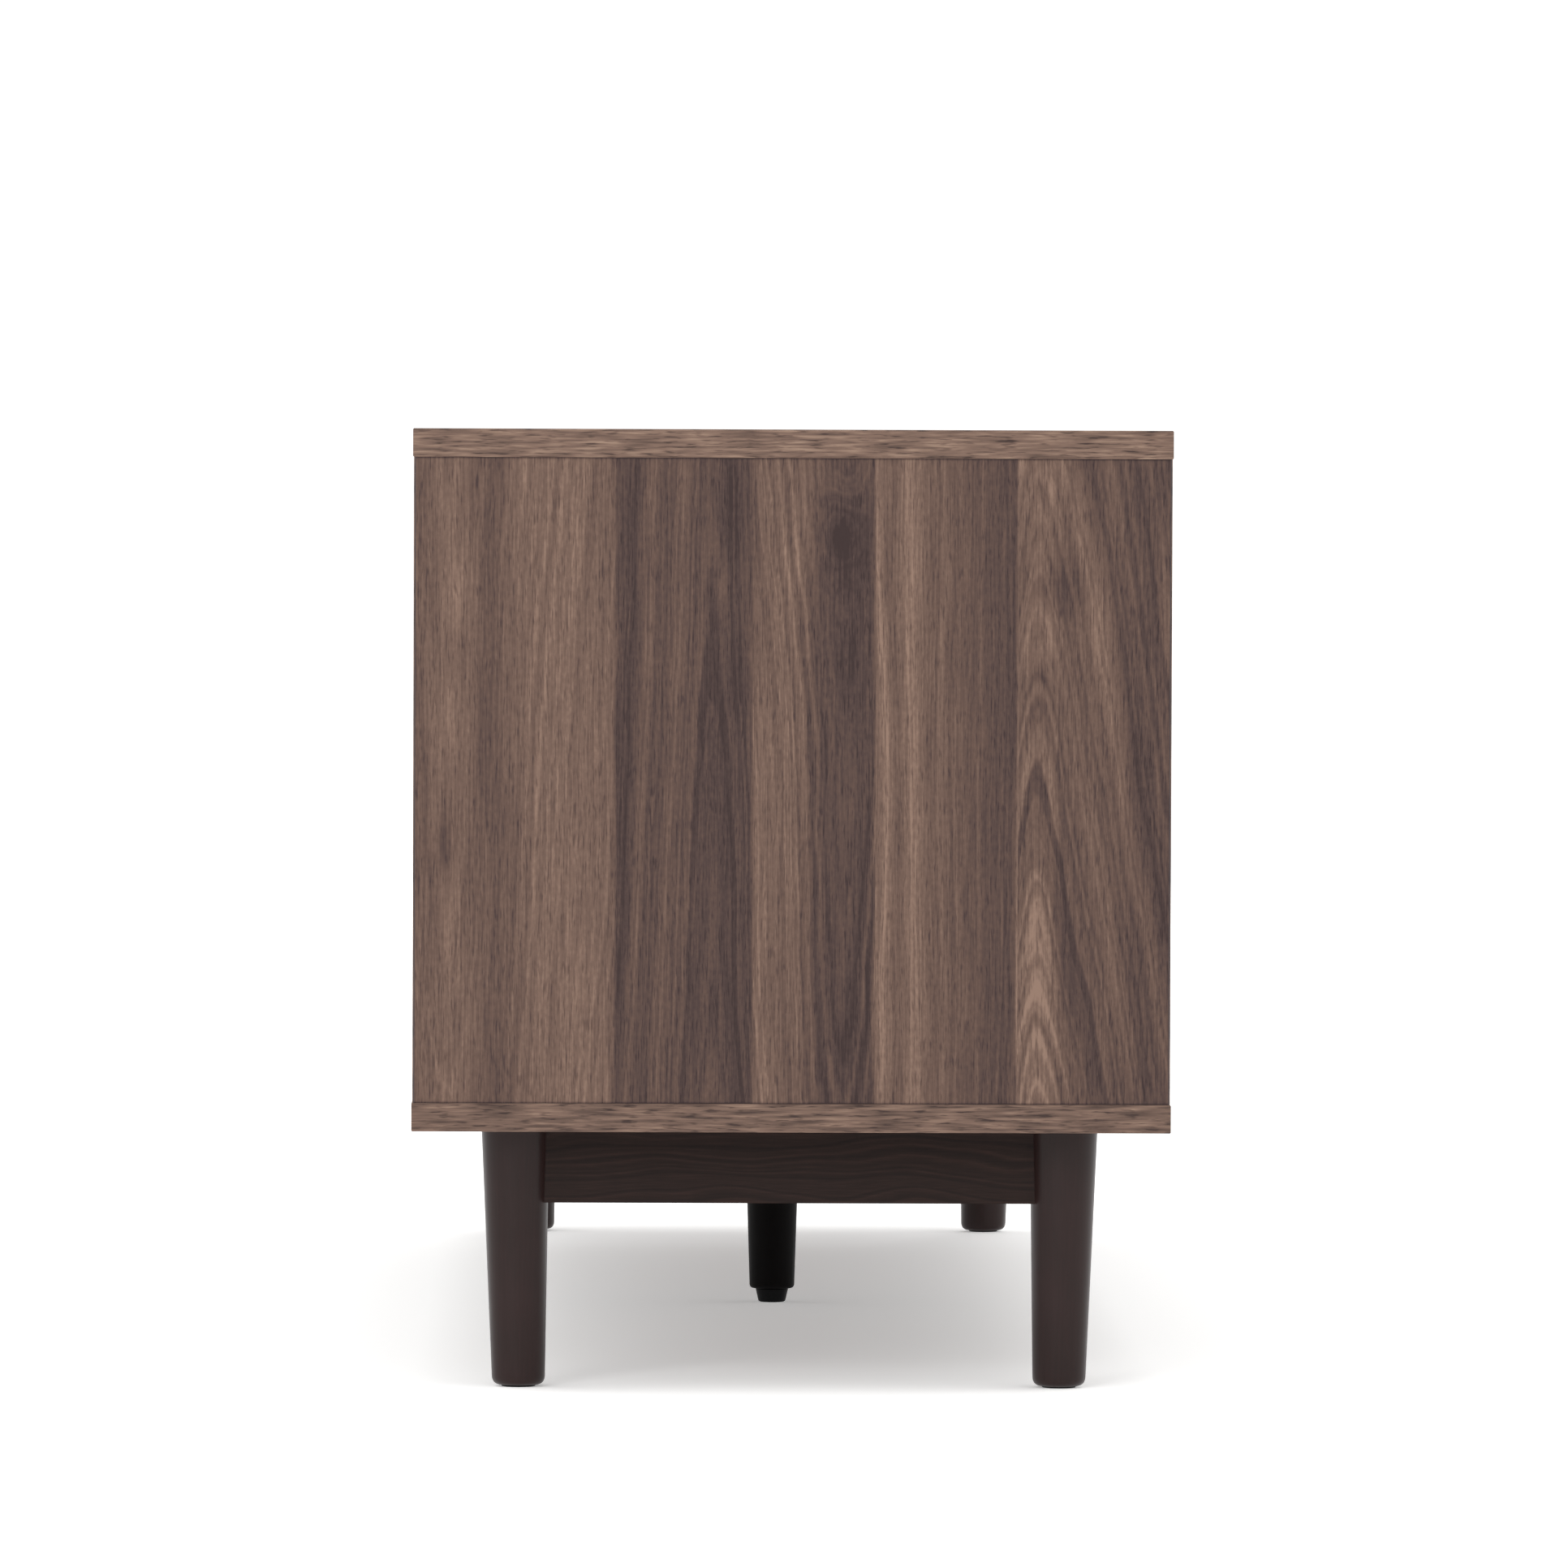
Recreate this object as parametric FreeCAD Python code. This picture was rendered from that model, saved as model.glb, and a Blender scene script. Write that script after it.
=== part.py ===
import FreeCAD, Part
import os

from FreeCAD import Placement, Rotation, Vector

# Walnut-look media console: a low cabinet with two bypass sliding doors, an open
# middle bay, and a dark base of turned legs with aprons. Millimetres, +Z up, +X along
# the cabinet, front towards -Y, origin on the floor under the middle of the cabinet.

# ---- driving dimensions ----
LENGTH = 1480.0
DEPTH = 400.0
HEIGHT = 508.0
BOARD = 15.0              # laminated particleboard
LEG_HEIGHT = 138.0        # floor to the underside of the bottom panel
BAND = 1.0                # edge band glued on the board edges
BAND_EASE = 0.5           # chamfer along a band's outer edges
END_REVEAL = 0.8          # side panels stand this far inside the top's ends
EDGE_REVEAL = 0.5         # and this far inside its front and back edges

# ---- carcass heights and bays ----
FLOOR_Z = LEG_HEIGHT + BOARD              # upper face of the bottom panel
CEILING_Z = HEIGHT - BOARD                # under face of the top panel
SIDE_OUTER = LENGTH / 2 - END_REVEAL
SIDE_INNER = SIDE_OUTER - BOARD
BAY = (2 * SIDE_INNER - 2 * BOARD) / 3    # clear width of each bay
DIVIDER_INNER = BAY / 2
DIVIDER_OUTER = DIVIDER_INNER + BOARD
SIDE_EDGE_Y = DEPTH / 2 - EDGE_REVEAL
MIDDLE_Z = (FLOOR_Z + CEILING_Z) / 2

# ---- sliding doors and their tracks ----
DOOR_RECESS = 4.0         # front door's face behind the cabinet's front edge
DOOR_GAP = 4.0            # between the two door planes
DOOR_SIDE_GAP = 1.0
FRONT_DOOR_Y = -DEPTH / 2 + DOOR_RECESS + BOARD / 2
REAR_DOOR_Y = FRONT_DOOR_Y + BOARD + DOOR_GAP
TRACK_WIDTH = 37.0
TRACK_BASE = 2.0
TRACK_END_GAP = 0.5
LOWER_RIB = 4.0
UPPER_RIB = 8.0
RIB = 1.5
CHANNEL = 5.0             # clear width of a track channel
DOOR_LOW_GAP = 1.5        # over the lower ribs
DOOR_TOP_GAP = 5.5        # under the upper ribs: the door lifts out by this
DOOR_BOTTOM = FLOOR_Z + TRACK_BASE + LOWER_RIB + DOOR_LOW_GAP
DOOR_TOP = CEILING_Z - TRACK_BASE - UPPER_RIB - DOOR_TOP_GAP
TONGUE = 4.0
TONGUE_GAP = 0.2          # glider's tongue over the channel's floor
TONGUE_ENGAGED = 3.0      # top guide's tongue inside the upper channel
GLIDER_LENGTH = 30.0
GLIDER_WIDTH = 10.0
GLIDER_PLATE = 1.0
GLIDER_PEG_R = 4.0
GLIDER_PEG = 12.0
GLIDER_INSET = 60.0       # from the door's ends
CUP_INSET = 58.0          # finger cup's centre from the door's outer edge
CUP_R = 17.4
CUP_WALL = 1.0
CUP_DEPTH = 10.5
CUP_BORE_DEPTH = 11.0
CUP_FLANGE_R = 20.0
CUP_FLANGE = 1.0
CUP_FIT = 0.1

# ---- uprights, shelves and back ----
UPRIGHT_GAP = 3.5         # behind the rear door
UPRIGHT_FRONT_Y = REAR_DOOR_Y + BOARD / 2 + UPRIGHT_GAP
BACK_Y = 186.0            # front of the groove for the back panels
BACK_THICK = 3.0
GROOVE = 3.2
GROOVE_DEPTH = 6.0
BACK_TONGUE = 5.5         # back panel's edge inside the groove
JOINER_FLANGE = 1.5
JOINER_WIDTH = 15.0
JOINER_WEB = 3.0
BACK_FIT = 0.2            # round the joiner strips
PANEL_FIT = 0.1           # back panel in its groove, grommet in its hole
UPRIGHT_REAR_Y = BACK_Y - JOINER_FLANGE - BACK_FIT
SHELF_FRONT_Y = -140.0
SHELF_REAR_Y = 180.0
SHELF_SIDE_GAP = 1.0
PIN_PITCH = 32.0
PIN_ROWS = (-2, -1, 0, 1, 2)
PIN_ZERO_Z = 321.0
PIN_Y = (-100.0, 130.0)
PIN_R = 2.5
PIN_DEPTH = 9.0
PIN_FLAT = 2.0            # flat top of a pin over its axis
PIN_END_GAP = 1.0
PIN_LEDGE = 8.0
PIN_LEDGE_R = 3.5
PIN_FLANGE = 1.2
PIN_FLANGE_R = 4.5
PORT_R = 30.0             # cable port's hole
PORT_CLEAR_R = 27.0
PORT_FLANGE_R = 34.0
PORT_LOW_Z = 235.0
PORT_HIGH_Z = 411.0
GROMMET_FRONT = 2.4       # the snap rim starts this far in front of the groove
GROMMET_REAR = 2.0        # thickness of the rear flange
GROMMET_SNAP = 0.8        # the snap rim is this much larger than the hole
GROMMET_SNAP_LENGTH = 2.3

# ---- knock-down fittings ----
CAM_Y = (-120.0, 140.0)
DOWEL_Y = (-70.0, 90.0)
CAM_R = 7.5
CAM_POCKET = 12.5
CAM_FROM_END = 24.0
CAM_FIT = 0.1
BOLT_THREAD_R = 3.0
BOLT_THREAD = 11.0
BOLT_SHANK_R = 2.5
BOLT_BORE_R = 4.0
BOLT_HEAD_R = 3.4
BOLT_HEAD_IN = 2.0        # the head ends this far past the cam's axis
BOLT_HEAD_OUT = 3.0       # and starts this far before it
CAM_MOUTH_FIT = 0.2
CAM_MOUTH_PAST = 4.0      # the mouth reaches this far past the cam's axis
CAM_SLOT_REACH = 4.0
CAM_SLOT_HALF = 0.7
CAM_SLOT_DEPTH = 2.0
DOWEL_R = 4.0
DOWEL_IN_PANEL = 11.0
DOWEL_IN_UPRIGHT = 19.0
DOWEL_EASE = 0.8

# ---- base ----
LEG_TOP_R = 18.0
LEG_FOOT_R = 14.0
LEG_ROUND = 4.3
LEG_INSET = 54.5          # leg's top centre from the panel's edges
LEG_LEAN = 2.0            # the foot's centre stands this far further in
MID_LEG_TOP_R = 17.0
MID_LEG_FOOT_R = 13.0
MID_LEG_ROUND = 2.5
MID_LEG_FOOT_Z = 8.0
APRON_HEIGHT = 40.0
GLIDE_R = 9.0
GLIDE = 0.8
NAIL_R = 1.25
NAIL = 12.0
STUD_R = 4.0
STUD_IN_LEG = 30.0
INSERT_R = 6.0
INSERT = 13.0
STUD_END_GAP = 1.0
FOOT_TOP_R = 9.5
FOOT_BOTTOM_R = 7.75
FOOT_ROUND = 1.5
FOOT_GAP = 0.2
STEM_START_Z = 5.0
STEM = 35.0
STEM_FIT = 0.1
BUSH_R = 5.5
BUSH = 16.0
STEM_BORE_R = 4.6
STEM_BORE_Z = 55.0
BRACKET_LEAF = 25.0
BRACKET_WIDTH = 30.0
BRACKET_STEEL = 2.0
BRACKET_HOLE = 14.0       # from the corner
BRACKET_X = (-450.0, -150.0, 150.0, 450.0)
SCREW_R = 2.0
SCREW = 10.0
SCREW_HEAD_R = 4.0
SCREW_HEAD = 2.2
TRACK_SCREW_X = (-700.0, -350.0, 0.0, 350.0, 700.0)
TRACK_SCREW_R = 1.5
TRACK_SCREW_HEAD_R = 3.0
TRACK_SCREW_HEAD = 1.2

LEG_X = LENGTH / 2 - LEG_INSET
LEG_Y = DEPTH / 2 - LEG_INSET
DIVIDER_X = (DIVIDER_INNER + DIVIDER_OUTER) / 2
SIDE_X = (SIDE_INNER + SIDE_OUTER) / 2
CUT_OVER = 1.0            # a cutting tool stands this far out of what it cuts
TINY = 1e-6
UP = Vector(0, 0, 1)
DOWN = Vector(0, 0, -1)
RIGHT = Vector(1, 0, 0)
LEFT = Vector(-1, 0, 0)
FRONT = Vector(0, -1, 0)
REAR = Vector(0, 1, 0)


# ---- shapes ----
def block(x, y, z):
    """A box from its low and high limits along each axis."""
    low = Vector(min(x), min(y), min(z))
    return Part.makeBox(abs(x[1] - x[0]), abs(y[1] - y[0]), abs(z[1] - z[0]), low)


def rod(radius, base, direction, length):
    return Part.makeCylinder(radius, length, Vector(*base), direction)


def fused(shapes):
    whole = shapes[0].multiFuse(shapes[1:])
    return whole.removeSplitter()


def without(shape, tools):
    return shape.cut(Part.makeCompound(tools)) if tools else shape


def placed(shape, origin, z_dir, x_dir):
    """shape moved from the origin's frame to one with the given Z and X directions."""
    turn = Rotation(x_dir, z_dir.cross(x_dir), z_dir, "ZXY")
    moved = shape.copy()
    moved.Placement = Placement(Vector(*origin), turn)
    return moved


def outer_edges(strip, axis, value):
    """The long edges of a band that lie on its outer face."""
    found = []
    for edge in strip.Edges:
        ends = [getattr(v.Point, axis) for v in edge.Vertexes]
        if all(abs(e - value) < TINY for e in ends) and edge.Length > 2 * BOARD:
            found.append(edge)
    return found


def band(x, y, z, axis, value):
    """An edge band with its outer long edges eased."""
    strip = block(x, y, z)
    return strip.makeChamfer(BAND_EASE, outer_edges(strip, axis, value))


# ---- knock-down fittings, in a frame with the joint plane at z = 0 ----
# The receiving panel is above, the upright below, and the cam's face looks along +x.
def cam_bolt():
    return fused([
        rod(BOLT_THREAD_R, (0, 0, 0), UP, BOLT_THREAD),
        rod(BOLT_SHANK_R, (0, 0, BOLT_HEAD_OUT - CAM_FROM_END), UP,
            CAM_FROM_END - BOLT_HEAD_OUT),
        rod(BOLT_HEAD_R, (0, 0, -CAM_FROM_END - BOLT_HEAD_IN), UP,
            BOLT_HEAD_IN + BOLT_HEAD_OUT),
    ])


def cam_lock():
    face_x = BOARD / 2 - CAM_FIT
    back_x = BOARD / 2 - CAM_POCKET + 2 * CAM_FIT
    disc = rod(CAM_R - CAM_FIT, (back_x, 0, -CAM_FROM_END), RIGHT, face_x - back_x)
    mouth_r = BOLT_BORE_R + CAM_MOUTH_FIT
    mouth = rod(mouth_r, (0, 0, -CAM_FROM_END - CAM_MOUTH_PAST), UP,
                CAM_FROM_END + CAM_MOUTH_PAST)
    mid = -CAM_FROM_END
    depth = (face_x - CAM_SLOT_DEPTH, face_x + CUT_OVER)
    reach, half = CAM_SLOT_REACH, CAM_SLOT_HALF
    slots = [
        block(depth, (-half, half), (mid - reach, mid + reach)),
        block(depth, (-reach, reach), (mid - half, mid + half)),
    ]
    return without(disc, [mouth] + slots)


def dowel():
    pin = rod(DOWEL_R, (0, 0, -DOWEL_IN_UPRIGHT), UP, DOWEL_IN_PANEL + DOWEL_IN_UPRIGHT)
    rims = [e for e in pin.Edges if e.Curve.TypeId == "Part::GeomCircle"]
    return pin.makeChamfer(DOWEL_EASE, rims)


def cam_cuts_upright():
    pocket_x = BOARD / 2 - CAM_POCKET
    return [
        rod(BOLT_BORE_R, (0, 0, -CAM_FROM_END), UP, CAM_FROM_END),
        rod(CAM_R, (pocket_x, 0, -CAM_FROM_END), RIGHT, CAM_POCKET),
    ]


def cam_cuts_panel():
    return [rod(BOLT_THREAD_R, (0, 0, 0), UP, BOLT_THREAD)]


def dowel_cuts_upright():
    return [rod(DOWEL_R, (0, 0, -DOWEL_IN_UPRIGHT), UP, DOWEL_IN_UPRIGHT)]


def dowel_cuts_panel():
    return [rod(DOWEL_R, (0, 0, 0), UP, DOWEL_IN_PANEL)]


# Each joint: which upright, which panel, a point on the joint line, its two directions.
def upright_joints():
    found = []
    uprights = {
        "left_side_panel": (-SIDE_X, RIGHT),
        "right_side_panel": (SIDE_X, LEFT),
        "left_divider": (-DIVIDER_X, LEFT),
        "right_divider": (DIVIDER_X, RIGHT),
    }
    for upright, (x, face) in uprights.items():
        found.append((upright, "top_panel", (x, CEILING_Z), UP, face))
        found.append((upright, "bottom_panel", (x, FLOOR_Z), DOWN, face))
    return found


def fittings():
    """The bolts, cams and dowels, and what each board loses to them."""
    bolts, cams, dowels, cuts = [], [], [], {}
    places = []
    for upright, panel, (x, z), out, face in upright_joints():
        places += [("cam", upright, panel, (x, y, z), out, face) for y in CAM_Y]
        places += [("dowel", upright, panel, (x, y, z), out, face) for y in DOWEL_Y]
    for divider, side in (("left_divider", -1), ("right_divider", 1)):
        x, out = side * DIVIDER_INNER, RIGHT * side
        places += [
            ("cam", "centre_shelf", divider, (x, y, MIDDLE_Z), out, DOWN) for y in CAM_Y
        ]
        places += [
            ("dowel", "centre_shelf", divider, (x, y, MIDDLE_Z), out, DOWN) for y in DOWEL_Y
        ]
    for kind, upright, panel, origin, out, face in places:
        in_upright = cam_cuts_upright() if kind == "cam" else dowel_cuts_upright()
        in_panel = cam_cuts_panel() if kind == "cam" else dowel_cuts_panel()
        cuts.setdefault(upright, []).extend(placed(s, origin, out, face) for s in in_upright)
        cuts.setdefault(panel, []).extend(placed(s, origin, out, face) for s in in_panel)
        if kind == "cam":
            bolts.append(placed(cam_bolt(), origin, out, face))
            cams.append(placed(cam_lock(), origin, out, face))
        else:
            dowels.append(placed(dowel(), origin, out, face))
    return bolts, cams, dowels, cuts


# ---- shelf pins ----
def pin_columns():
    """The faces that carry pin holes: (board, face x, direction into the board)."""
    return [
        ("left_side_panel", -SIDE_INNER, LEFT),
        ("left_divider", -DIVIDER_OUTER, RIGHT),
        ("right_divider", DIVIDER_OUTER, LEFT),
        ("right_side_panel", SIDE_INNER, RIGHT),
    ]


def pin_holes(board):
    holes = []
    for name, x, inward in pin_columns():
        if name != board:
            continue
        for y in PIN_Y:
            for row in PIN_ROWS:
                holes.append(rod(PIN_R, (x, y, PIN_ZERO_Z + row * PIN_PITCH), inward, PIN_DEPTH))
    return holes


def shelf_pins():
    pins = []
    for _, x, inward in pin_columns():
        outward = inward * -1
        for y in PIN_Y:
            base = (x, y, PIN_ZERO_Z)
            peg = fused([
                rod(PIN_R, base, inward, PIN_DEPTH - PIN_END_GAP),
                rod(PIN_FLANGE_R, base, outward, PIN_FLANGE),
                rod(PIN_LEDGE_R, base, outward, PIN_LEDGE),
            ])
            wide = PIN_FLANGE_R + CUT_OVER
            over = block((x, x + outward.x * (PIN_LEDGE + CUT_OVER)), (y - wide, y + wide),
                         (PIN_ZERO_Z + PIN_FLAT, PIN_ZERO_Z + wide))
            pins.append(peg.cut(over))
    return pins


# ---- carcass ----
def grooves_for_back():
    """Cuts for the back panels in the top, bottom and side panels."""
    y = (BACK_Y, BACK_Y + GROOVE)
    reach = SIDE_INNER + GROOVE_DEPTH
    return {
        "top_panel": block((-reach, reach), y, (CEILING_Z, CEILING_Z + GROOVE_DEPTH)),
        "bottom_panel": block((-reach, reach), y, (FLOOR_Z - GROOVE_DEPTH, FLOOR_Z)),
        "left_side_panel": block((-reach, -SIDE_INNER), y, (FLOOR_Z, CEILING_Z)),
        "right_side_panel": block((SIDE_INNER, reach), y, (FLOOR_Z, CEILING_Z)),
    }


def long_panel(z):
    """Core of the top or bottom panel, inside its edge bands."""
    x, y = LENGTH / 2 - BAND, DEPTH / 2 - BAND
    return block((-x, x), (-y, y), z)


def long_panel_bands(z):
    x, y = LENGTH / 2, DEPTH / 2
    strips = []
    for side in (-1, 1):
        strips.append(band((-x, x), (side * (y - BAND), side * y), z, "y", side * y))
        strips.append(
            band((side * (x - BAND), side * x), (-(y - BAND), y - BAND), z, "x", side * x)
        )
    return strips


def side_panel(side):
    y = SIDE_EDGE_Y - BAND
    return block((side * SIDE_INNER, side * SIDE_OUTER), (-y, y), (FLOOR_Z, CEILING_Z))


def side_bands():
    strips = []
    for side in (-1, 1):
        x = (side * SIDE_INNER, side * SIDE_OUTER)
        for edge in (-1, 1):
            y = edge * SIDE_EDGE_Y
            strips.append(band(x, (y - edge * BAND, y), (FLOOR_Z, CEILING_Z), "y", y))
    return strips


def divider(side):
    x = (side * DIVIDER_INNER, side * DIVIDER_OUTER)
    return block(x, (UPRIGHT_FRONT_Y + BAND, UPRIGHT_REAR_Y), (FLOOR_Z, CEILING_Z))


def divider_bands():
    y = (UPRIGHT_FRONT_Y, UPRIGHT_FRONT_Y + BAND)
    return [
        band((side * DIVIDER_INNER, side * DIVIDER_OUTER), y, (FLOOR_Z, CEILING_Z),
             "y", UPRIGHT_FRONT_Y)
        for side in (-1, 1)
    ]


def shelf_places():
    """Each shelf's limits, without its band: (x, front y, rear y, underside z)."""
    under = PIN_ZERO_Z + PIN_FLAT
    near, far = DIVIDER_OUTER + SHELF_SIDE_GAP, SIDE_INNER - SHELF_SIDE_GAP
    return {
        "left_shelf": ((-far, -near), SHELF_FRONT_Y, SHELF_REAR_Y, under),
        "centre_shelf": ((-DIVIDER_INNER, DIVIDER_INNER), UPRIGHT_FRONT_Y,
                         UPRIGHT_REAR_Y, MIDDLE_Z - BOARD / 2),
        "right_shelf": ((near, far), SHELF_FRONT_Y, SHELF_REAR_Y, under),
    }


def shelf(name):
    x, front, rear, z = shelf_places()[name]
    return block(x, (front + BAND, rear), (z, z + BOARD))


def shelf_bands():
    strips = []
    for x, front, _, z in shelf_places().values():
        strips.append(band(x, (front, front + BAND), (z, z + BOARD), "y", front))
    return strips


# ---- back ----
def port_places():
    outer_x = (DIVIDER_OUTER + SIDE_INNER) / 2
    return {
        "back_panel_left": [(-outer_x, PORT_LOW_Z)],
        "back_panel_centre": [(0.0, PORT_LOW_Z), (0.0, PORT_HIGH_Z)],
        "back_panel_right": [(outer_x, PORT_LOW_Z)],
    }


def back_panels():
    y = (BACK_Y + PANEL_FIT, BACK_Y + PANEL_FIT + BACK_THICK)
    z = (FLOOR_Z - BACK_TONGUE, CEILING_Z + BACK_TONGUE)
    join = DIVIDER_X - JOINER_WEB / 2 - BACK_FIT
    past = DIVIDER_X + JOINER_WEB / 2 + BACK_FIT
    end = SIDE_INNER + BACK_TONGUE
    limits = {
        "back_panel_left": (-end, -past),
        "back_panel_centre": (-join, join),
        "back_panel_right": (past, end),
    }
    panels = {}
    for name, x in limits.items():
        ports = [
            rod(PORT_R, (px, BACK_Y - CUT_OVER, pz), REAR, GROOVE + 2 * CUT_OVER)
            for px, pz in port_places()[name]
        ]
        panels[name] = without(block(x, y, z), ports)
    return panels


def joiner_strips():
    """H-shaped plastic strips that join the back panels behind the dividers."""
    front, rear = BACK_Y, BACK_Y + GROOVE
    z = (FLOOR_Z, CEILING_Z)
    strips = []
    for x in (-DIVIDER_X, DIVIDER_X):
        wide = (x - JOINER_WIDTH / 2, x + JOINER_WIDTH / 2)
        web = (x - JOINER_WEB / 2, x + JOINER_WEB / 2)
        strips.append(fused([
            block(wide, (front - JOINER_FLANGE, front), z),
            block(web, (front, rear), z),
            block(wide, (rear, rear + JOINER_FLANGE), z),
        ]))
    return strips


def cable_grommets():
    front = BACK_Y - GROMMET_FRONT
    rear = BACK_Y + PANEL_FIT + BACK_THICK
    length = rear + GROMMET_REAR - front
    rings = []
    for places in port_places().values():
        for x, z in places:
            body = fused([
                rod(PORT_R - PANEL_FIT, (x, front, z), REAR, length),
                rod(PORT_FLANGE_R, (x, rear, z), REAR, GROMMET_REAR),
                rod(PORT_R + GROMMET_SNAP, (x, front, z), REAR, GROMMET_SNAP_LENGTH),
            ])
            rings.append(body.cut(
                rod(PORT_CLEAR_R, (x, front - CUT_OVER, z), REAR, length + 2 * CUT_OVER)))
    return rings


# ---- tracks and doors ----
def track(base_z, rib_z):
    x = (TRACK_END_GAP - SIDE_INNER, SIDE_INNER - TRACK_END_GAP)
    middle = (FRONT_DOOR_Y + REAR_DOOR_Y) / 2
    parts = [block(x, (middle - TRACK_WIDTH / 2, middle + TRACK_WIDTH / 2), base_z)]
    for channel in (FRONT_DOOR_Y, REAR_DOOR_Y):
        for side in (-1, 1):
            inner = channel + side * CHANNEL / 2
            parts.append(block(x, (inner, inner + side * RIB), rib_z))
    low, high = min(base_z) - CUT_OVER, max(base_z) + CUT_OVER
    holes = [rod(TRACK_SCREW_R, (sx, middle, low), UP, high - low) for sx in TRACK_SCREW_X]
    return without(fused(parts), holes)


def track_screw(x, z, inward):
    """A screw through the track's base at z, driven along inward into the board."""
    middle = (FRONT_DOOR_Y + REAR_DOOR_Y) / 2
    face = (x, middle, z - inward.z * TRACK_BASE)
    return fused([
        rod(TRACK_SCREW_R, face, inward, TRACK_BASE + SCREW),
        rod(TRACK_SCREW_HEAD_R, face, inward * -1, TRACK_SCREW_HEAD),
    ])


def track_screw_holes(z, inward):
    middle = (FRONT_DOOR_Y + REAR_DOOR_Y) / 2
    return [rod(TRACK_SCREW_R, (x, middle, z), inward, SCREW) for x in TRACK_SCREW_X]


def door_limits(side):
    """Outer edge and inner edge of a closed door, along x."""
    return side * (SIDE_INNER - DOOR_SIDE_GAP), side * DIVIDER_INNER


def door_plane(side):
    return FRONT_DOOR_Y if side < 0 else REAR_DOOR_Y


def glider_x(side):
    outer, inner = door_limits(side)
    return outer - side * GLIDER_INSET, inner + side * GLIDER_INSET


def door_cuts(side):
    y = door_plane(side)
    cuts = []
    for x in glider_x(side):
        cuts.append(rod(GLIDER_PEG_R, (x, y, DOOR_BOTTOM), UP, GLIDER_PEG))
        cuts.append(rod(GLIDER_PEG_R, (x, y, DOOR_TOP), DOWN, GLIDER_PEG))
    cup_x = door_limits(side)[0] - side * CUP_INSET
    cuts.append(rod(CUP_R + CUP_FIT, (cup_x, y - BOARD / 2, MIDDLE_Z), REAR, CUP_BORE_DEPTH))
    return cuts


def door(side):
    outer, inner = door_limits(side)
    y = door_plane(side)
    core = block(
        (outer - side * BAND, inner + side * BAND),
        (y - BOARD / 2, y + BOARD / 2),
        (DOOR_BOTTOM + BAND, DOOR_TOP - BAND),
    )
    return without(core, door_cuts(side))


def door_bands(side):
    outer, inner = door_limits(side)
    y = door_plane(side)
    thick = (y - BOARD / 2, y + BOARD / 2)
    tall = (DOOR_BOTTOM + BAND, DOOR_TOP - BAND)
    strips = [
        band((outer, outer - side * BAND), thick, tall, "x", outer),
        band((inner, inner + side * BAND), thick, tall, "x", inner),
        band((outer, inner), thick, (DOOR_BOTTOM, DOOR_BOTTOM + BAND), "z", DOOR_BOTTOM),
        band((outer, inner), thick, (DOOR_TOP - BAND, DOOR_TOP), "z", DOOR_TOP),
    ]
    return [without(s, door_cuts(side)) for s in strips]


def door_gliders(side):
    """Two nylon gliders under the door, each with a tongue in the lower channel."""
    y = door_plane(side)
    floor = FLOOR_Z + TRACK_BASE + TONGUE_GAP
    parts = []
    for x in glider_x(side):
        along = (x - GLIDER_LENGTH / 2, x + GLIDER_LENGTH / 2)
        parts.append(fused([
            block(along, (y - GLIDER_WIDTH / 2, y + GLIDER_WIDTH / 2),
                  (DOOR_BOTTOM - GLIDER_PLATE, DOOR_BOTTOM)),
            block(along, (y - TONGUE / 2, y + TONGUE / 2), (floor, DOOR_BOTTOM)),
            rod(GLIDER_PEG_R, (x, y, DOOR_BOTTOM), UP, GLIDER_PEG),
        ]))
    return parts


def door_top_guides(side):
    """Two nylon guides on the door's top edge, each with a tongue in the upper channel."""
    y = door_plane(side)
    reach = DOOR_TOP + DOOR_TOP_GAP + TONGUE_ENGAGED
    parts = []
    for x in glider_x(side):
        along = (x - GLIDER_LENGTH / 2, x + GLIDER_LENGTH / 2)
        parts.append(fused([
            block(along, (y - GLIDER_WIDTH / 2, y + GLIDER_WIDTH / 2),
                  (DOOR_TOP, DOOR_TOP + GLIDER_PLATE)),
            block(along, (y - TONGUE / 2, y + TONGUE / 2), (DOOR_TOP, reach)),
            rod(GLIDER_PEG_R, (x, y, DOOR_TOP), DOWN, GLIDER_PEG),
        ]))
    return parts


def finger_cup(side):
    """A round flush pull, open to the front."""
    x = door_limits(side)[0] - side * CUP_INSET
    face = door_plane(side) - BOARD / 2
    shell = fused([
        rod(CUP_FLANGE_R, (x, face - CUP_FLANGE, MIDDLE_Z), REAR, CUP_FLANGE),
        rod(CUP_R, (x, face, MIDDLE_Z), REAR, CUP_DEPTH),
    ])
    hollow = rod(CUP_R - CUP_WALL, (x, face - CUP_FLANGE, MIDDLE_Z), REAR,
                 CUP_FLANGE + CUP_DEPTH - CUP_WALL)
    return shell.cut(hollow)


# ---- base ----
def tapered_leg(x, y, foot_z, top_r, foot_r, lean_x, lean_y, rounding):
    """A turned leg: a cone from the cabinet to its foot, whose centre leans inwards."""
    top = Part.Wire(Part.makeCircle(top_r, Vector(x, y, LEG_HEIGHT)))
    foot = Part.Wire(Part.makeCircle(foot_r, Vector(x + lean_x, y + lean_y, foot_z)))
    cone = Part.makeLoft([foot, top], True, True)
    rim = [e for e in cone.Edges if all(abs(v.Z - foot_z) < TINY for v in e.Vertexes)]
    return cone.makeFillet(rounding, rim)


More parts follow.
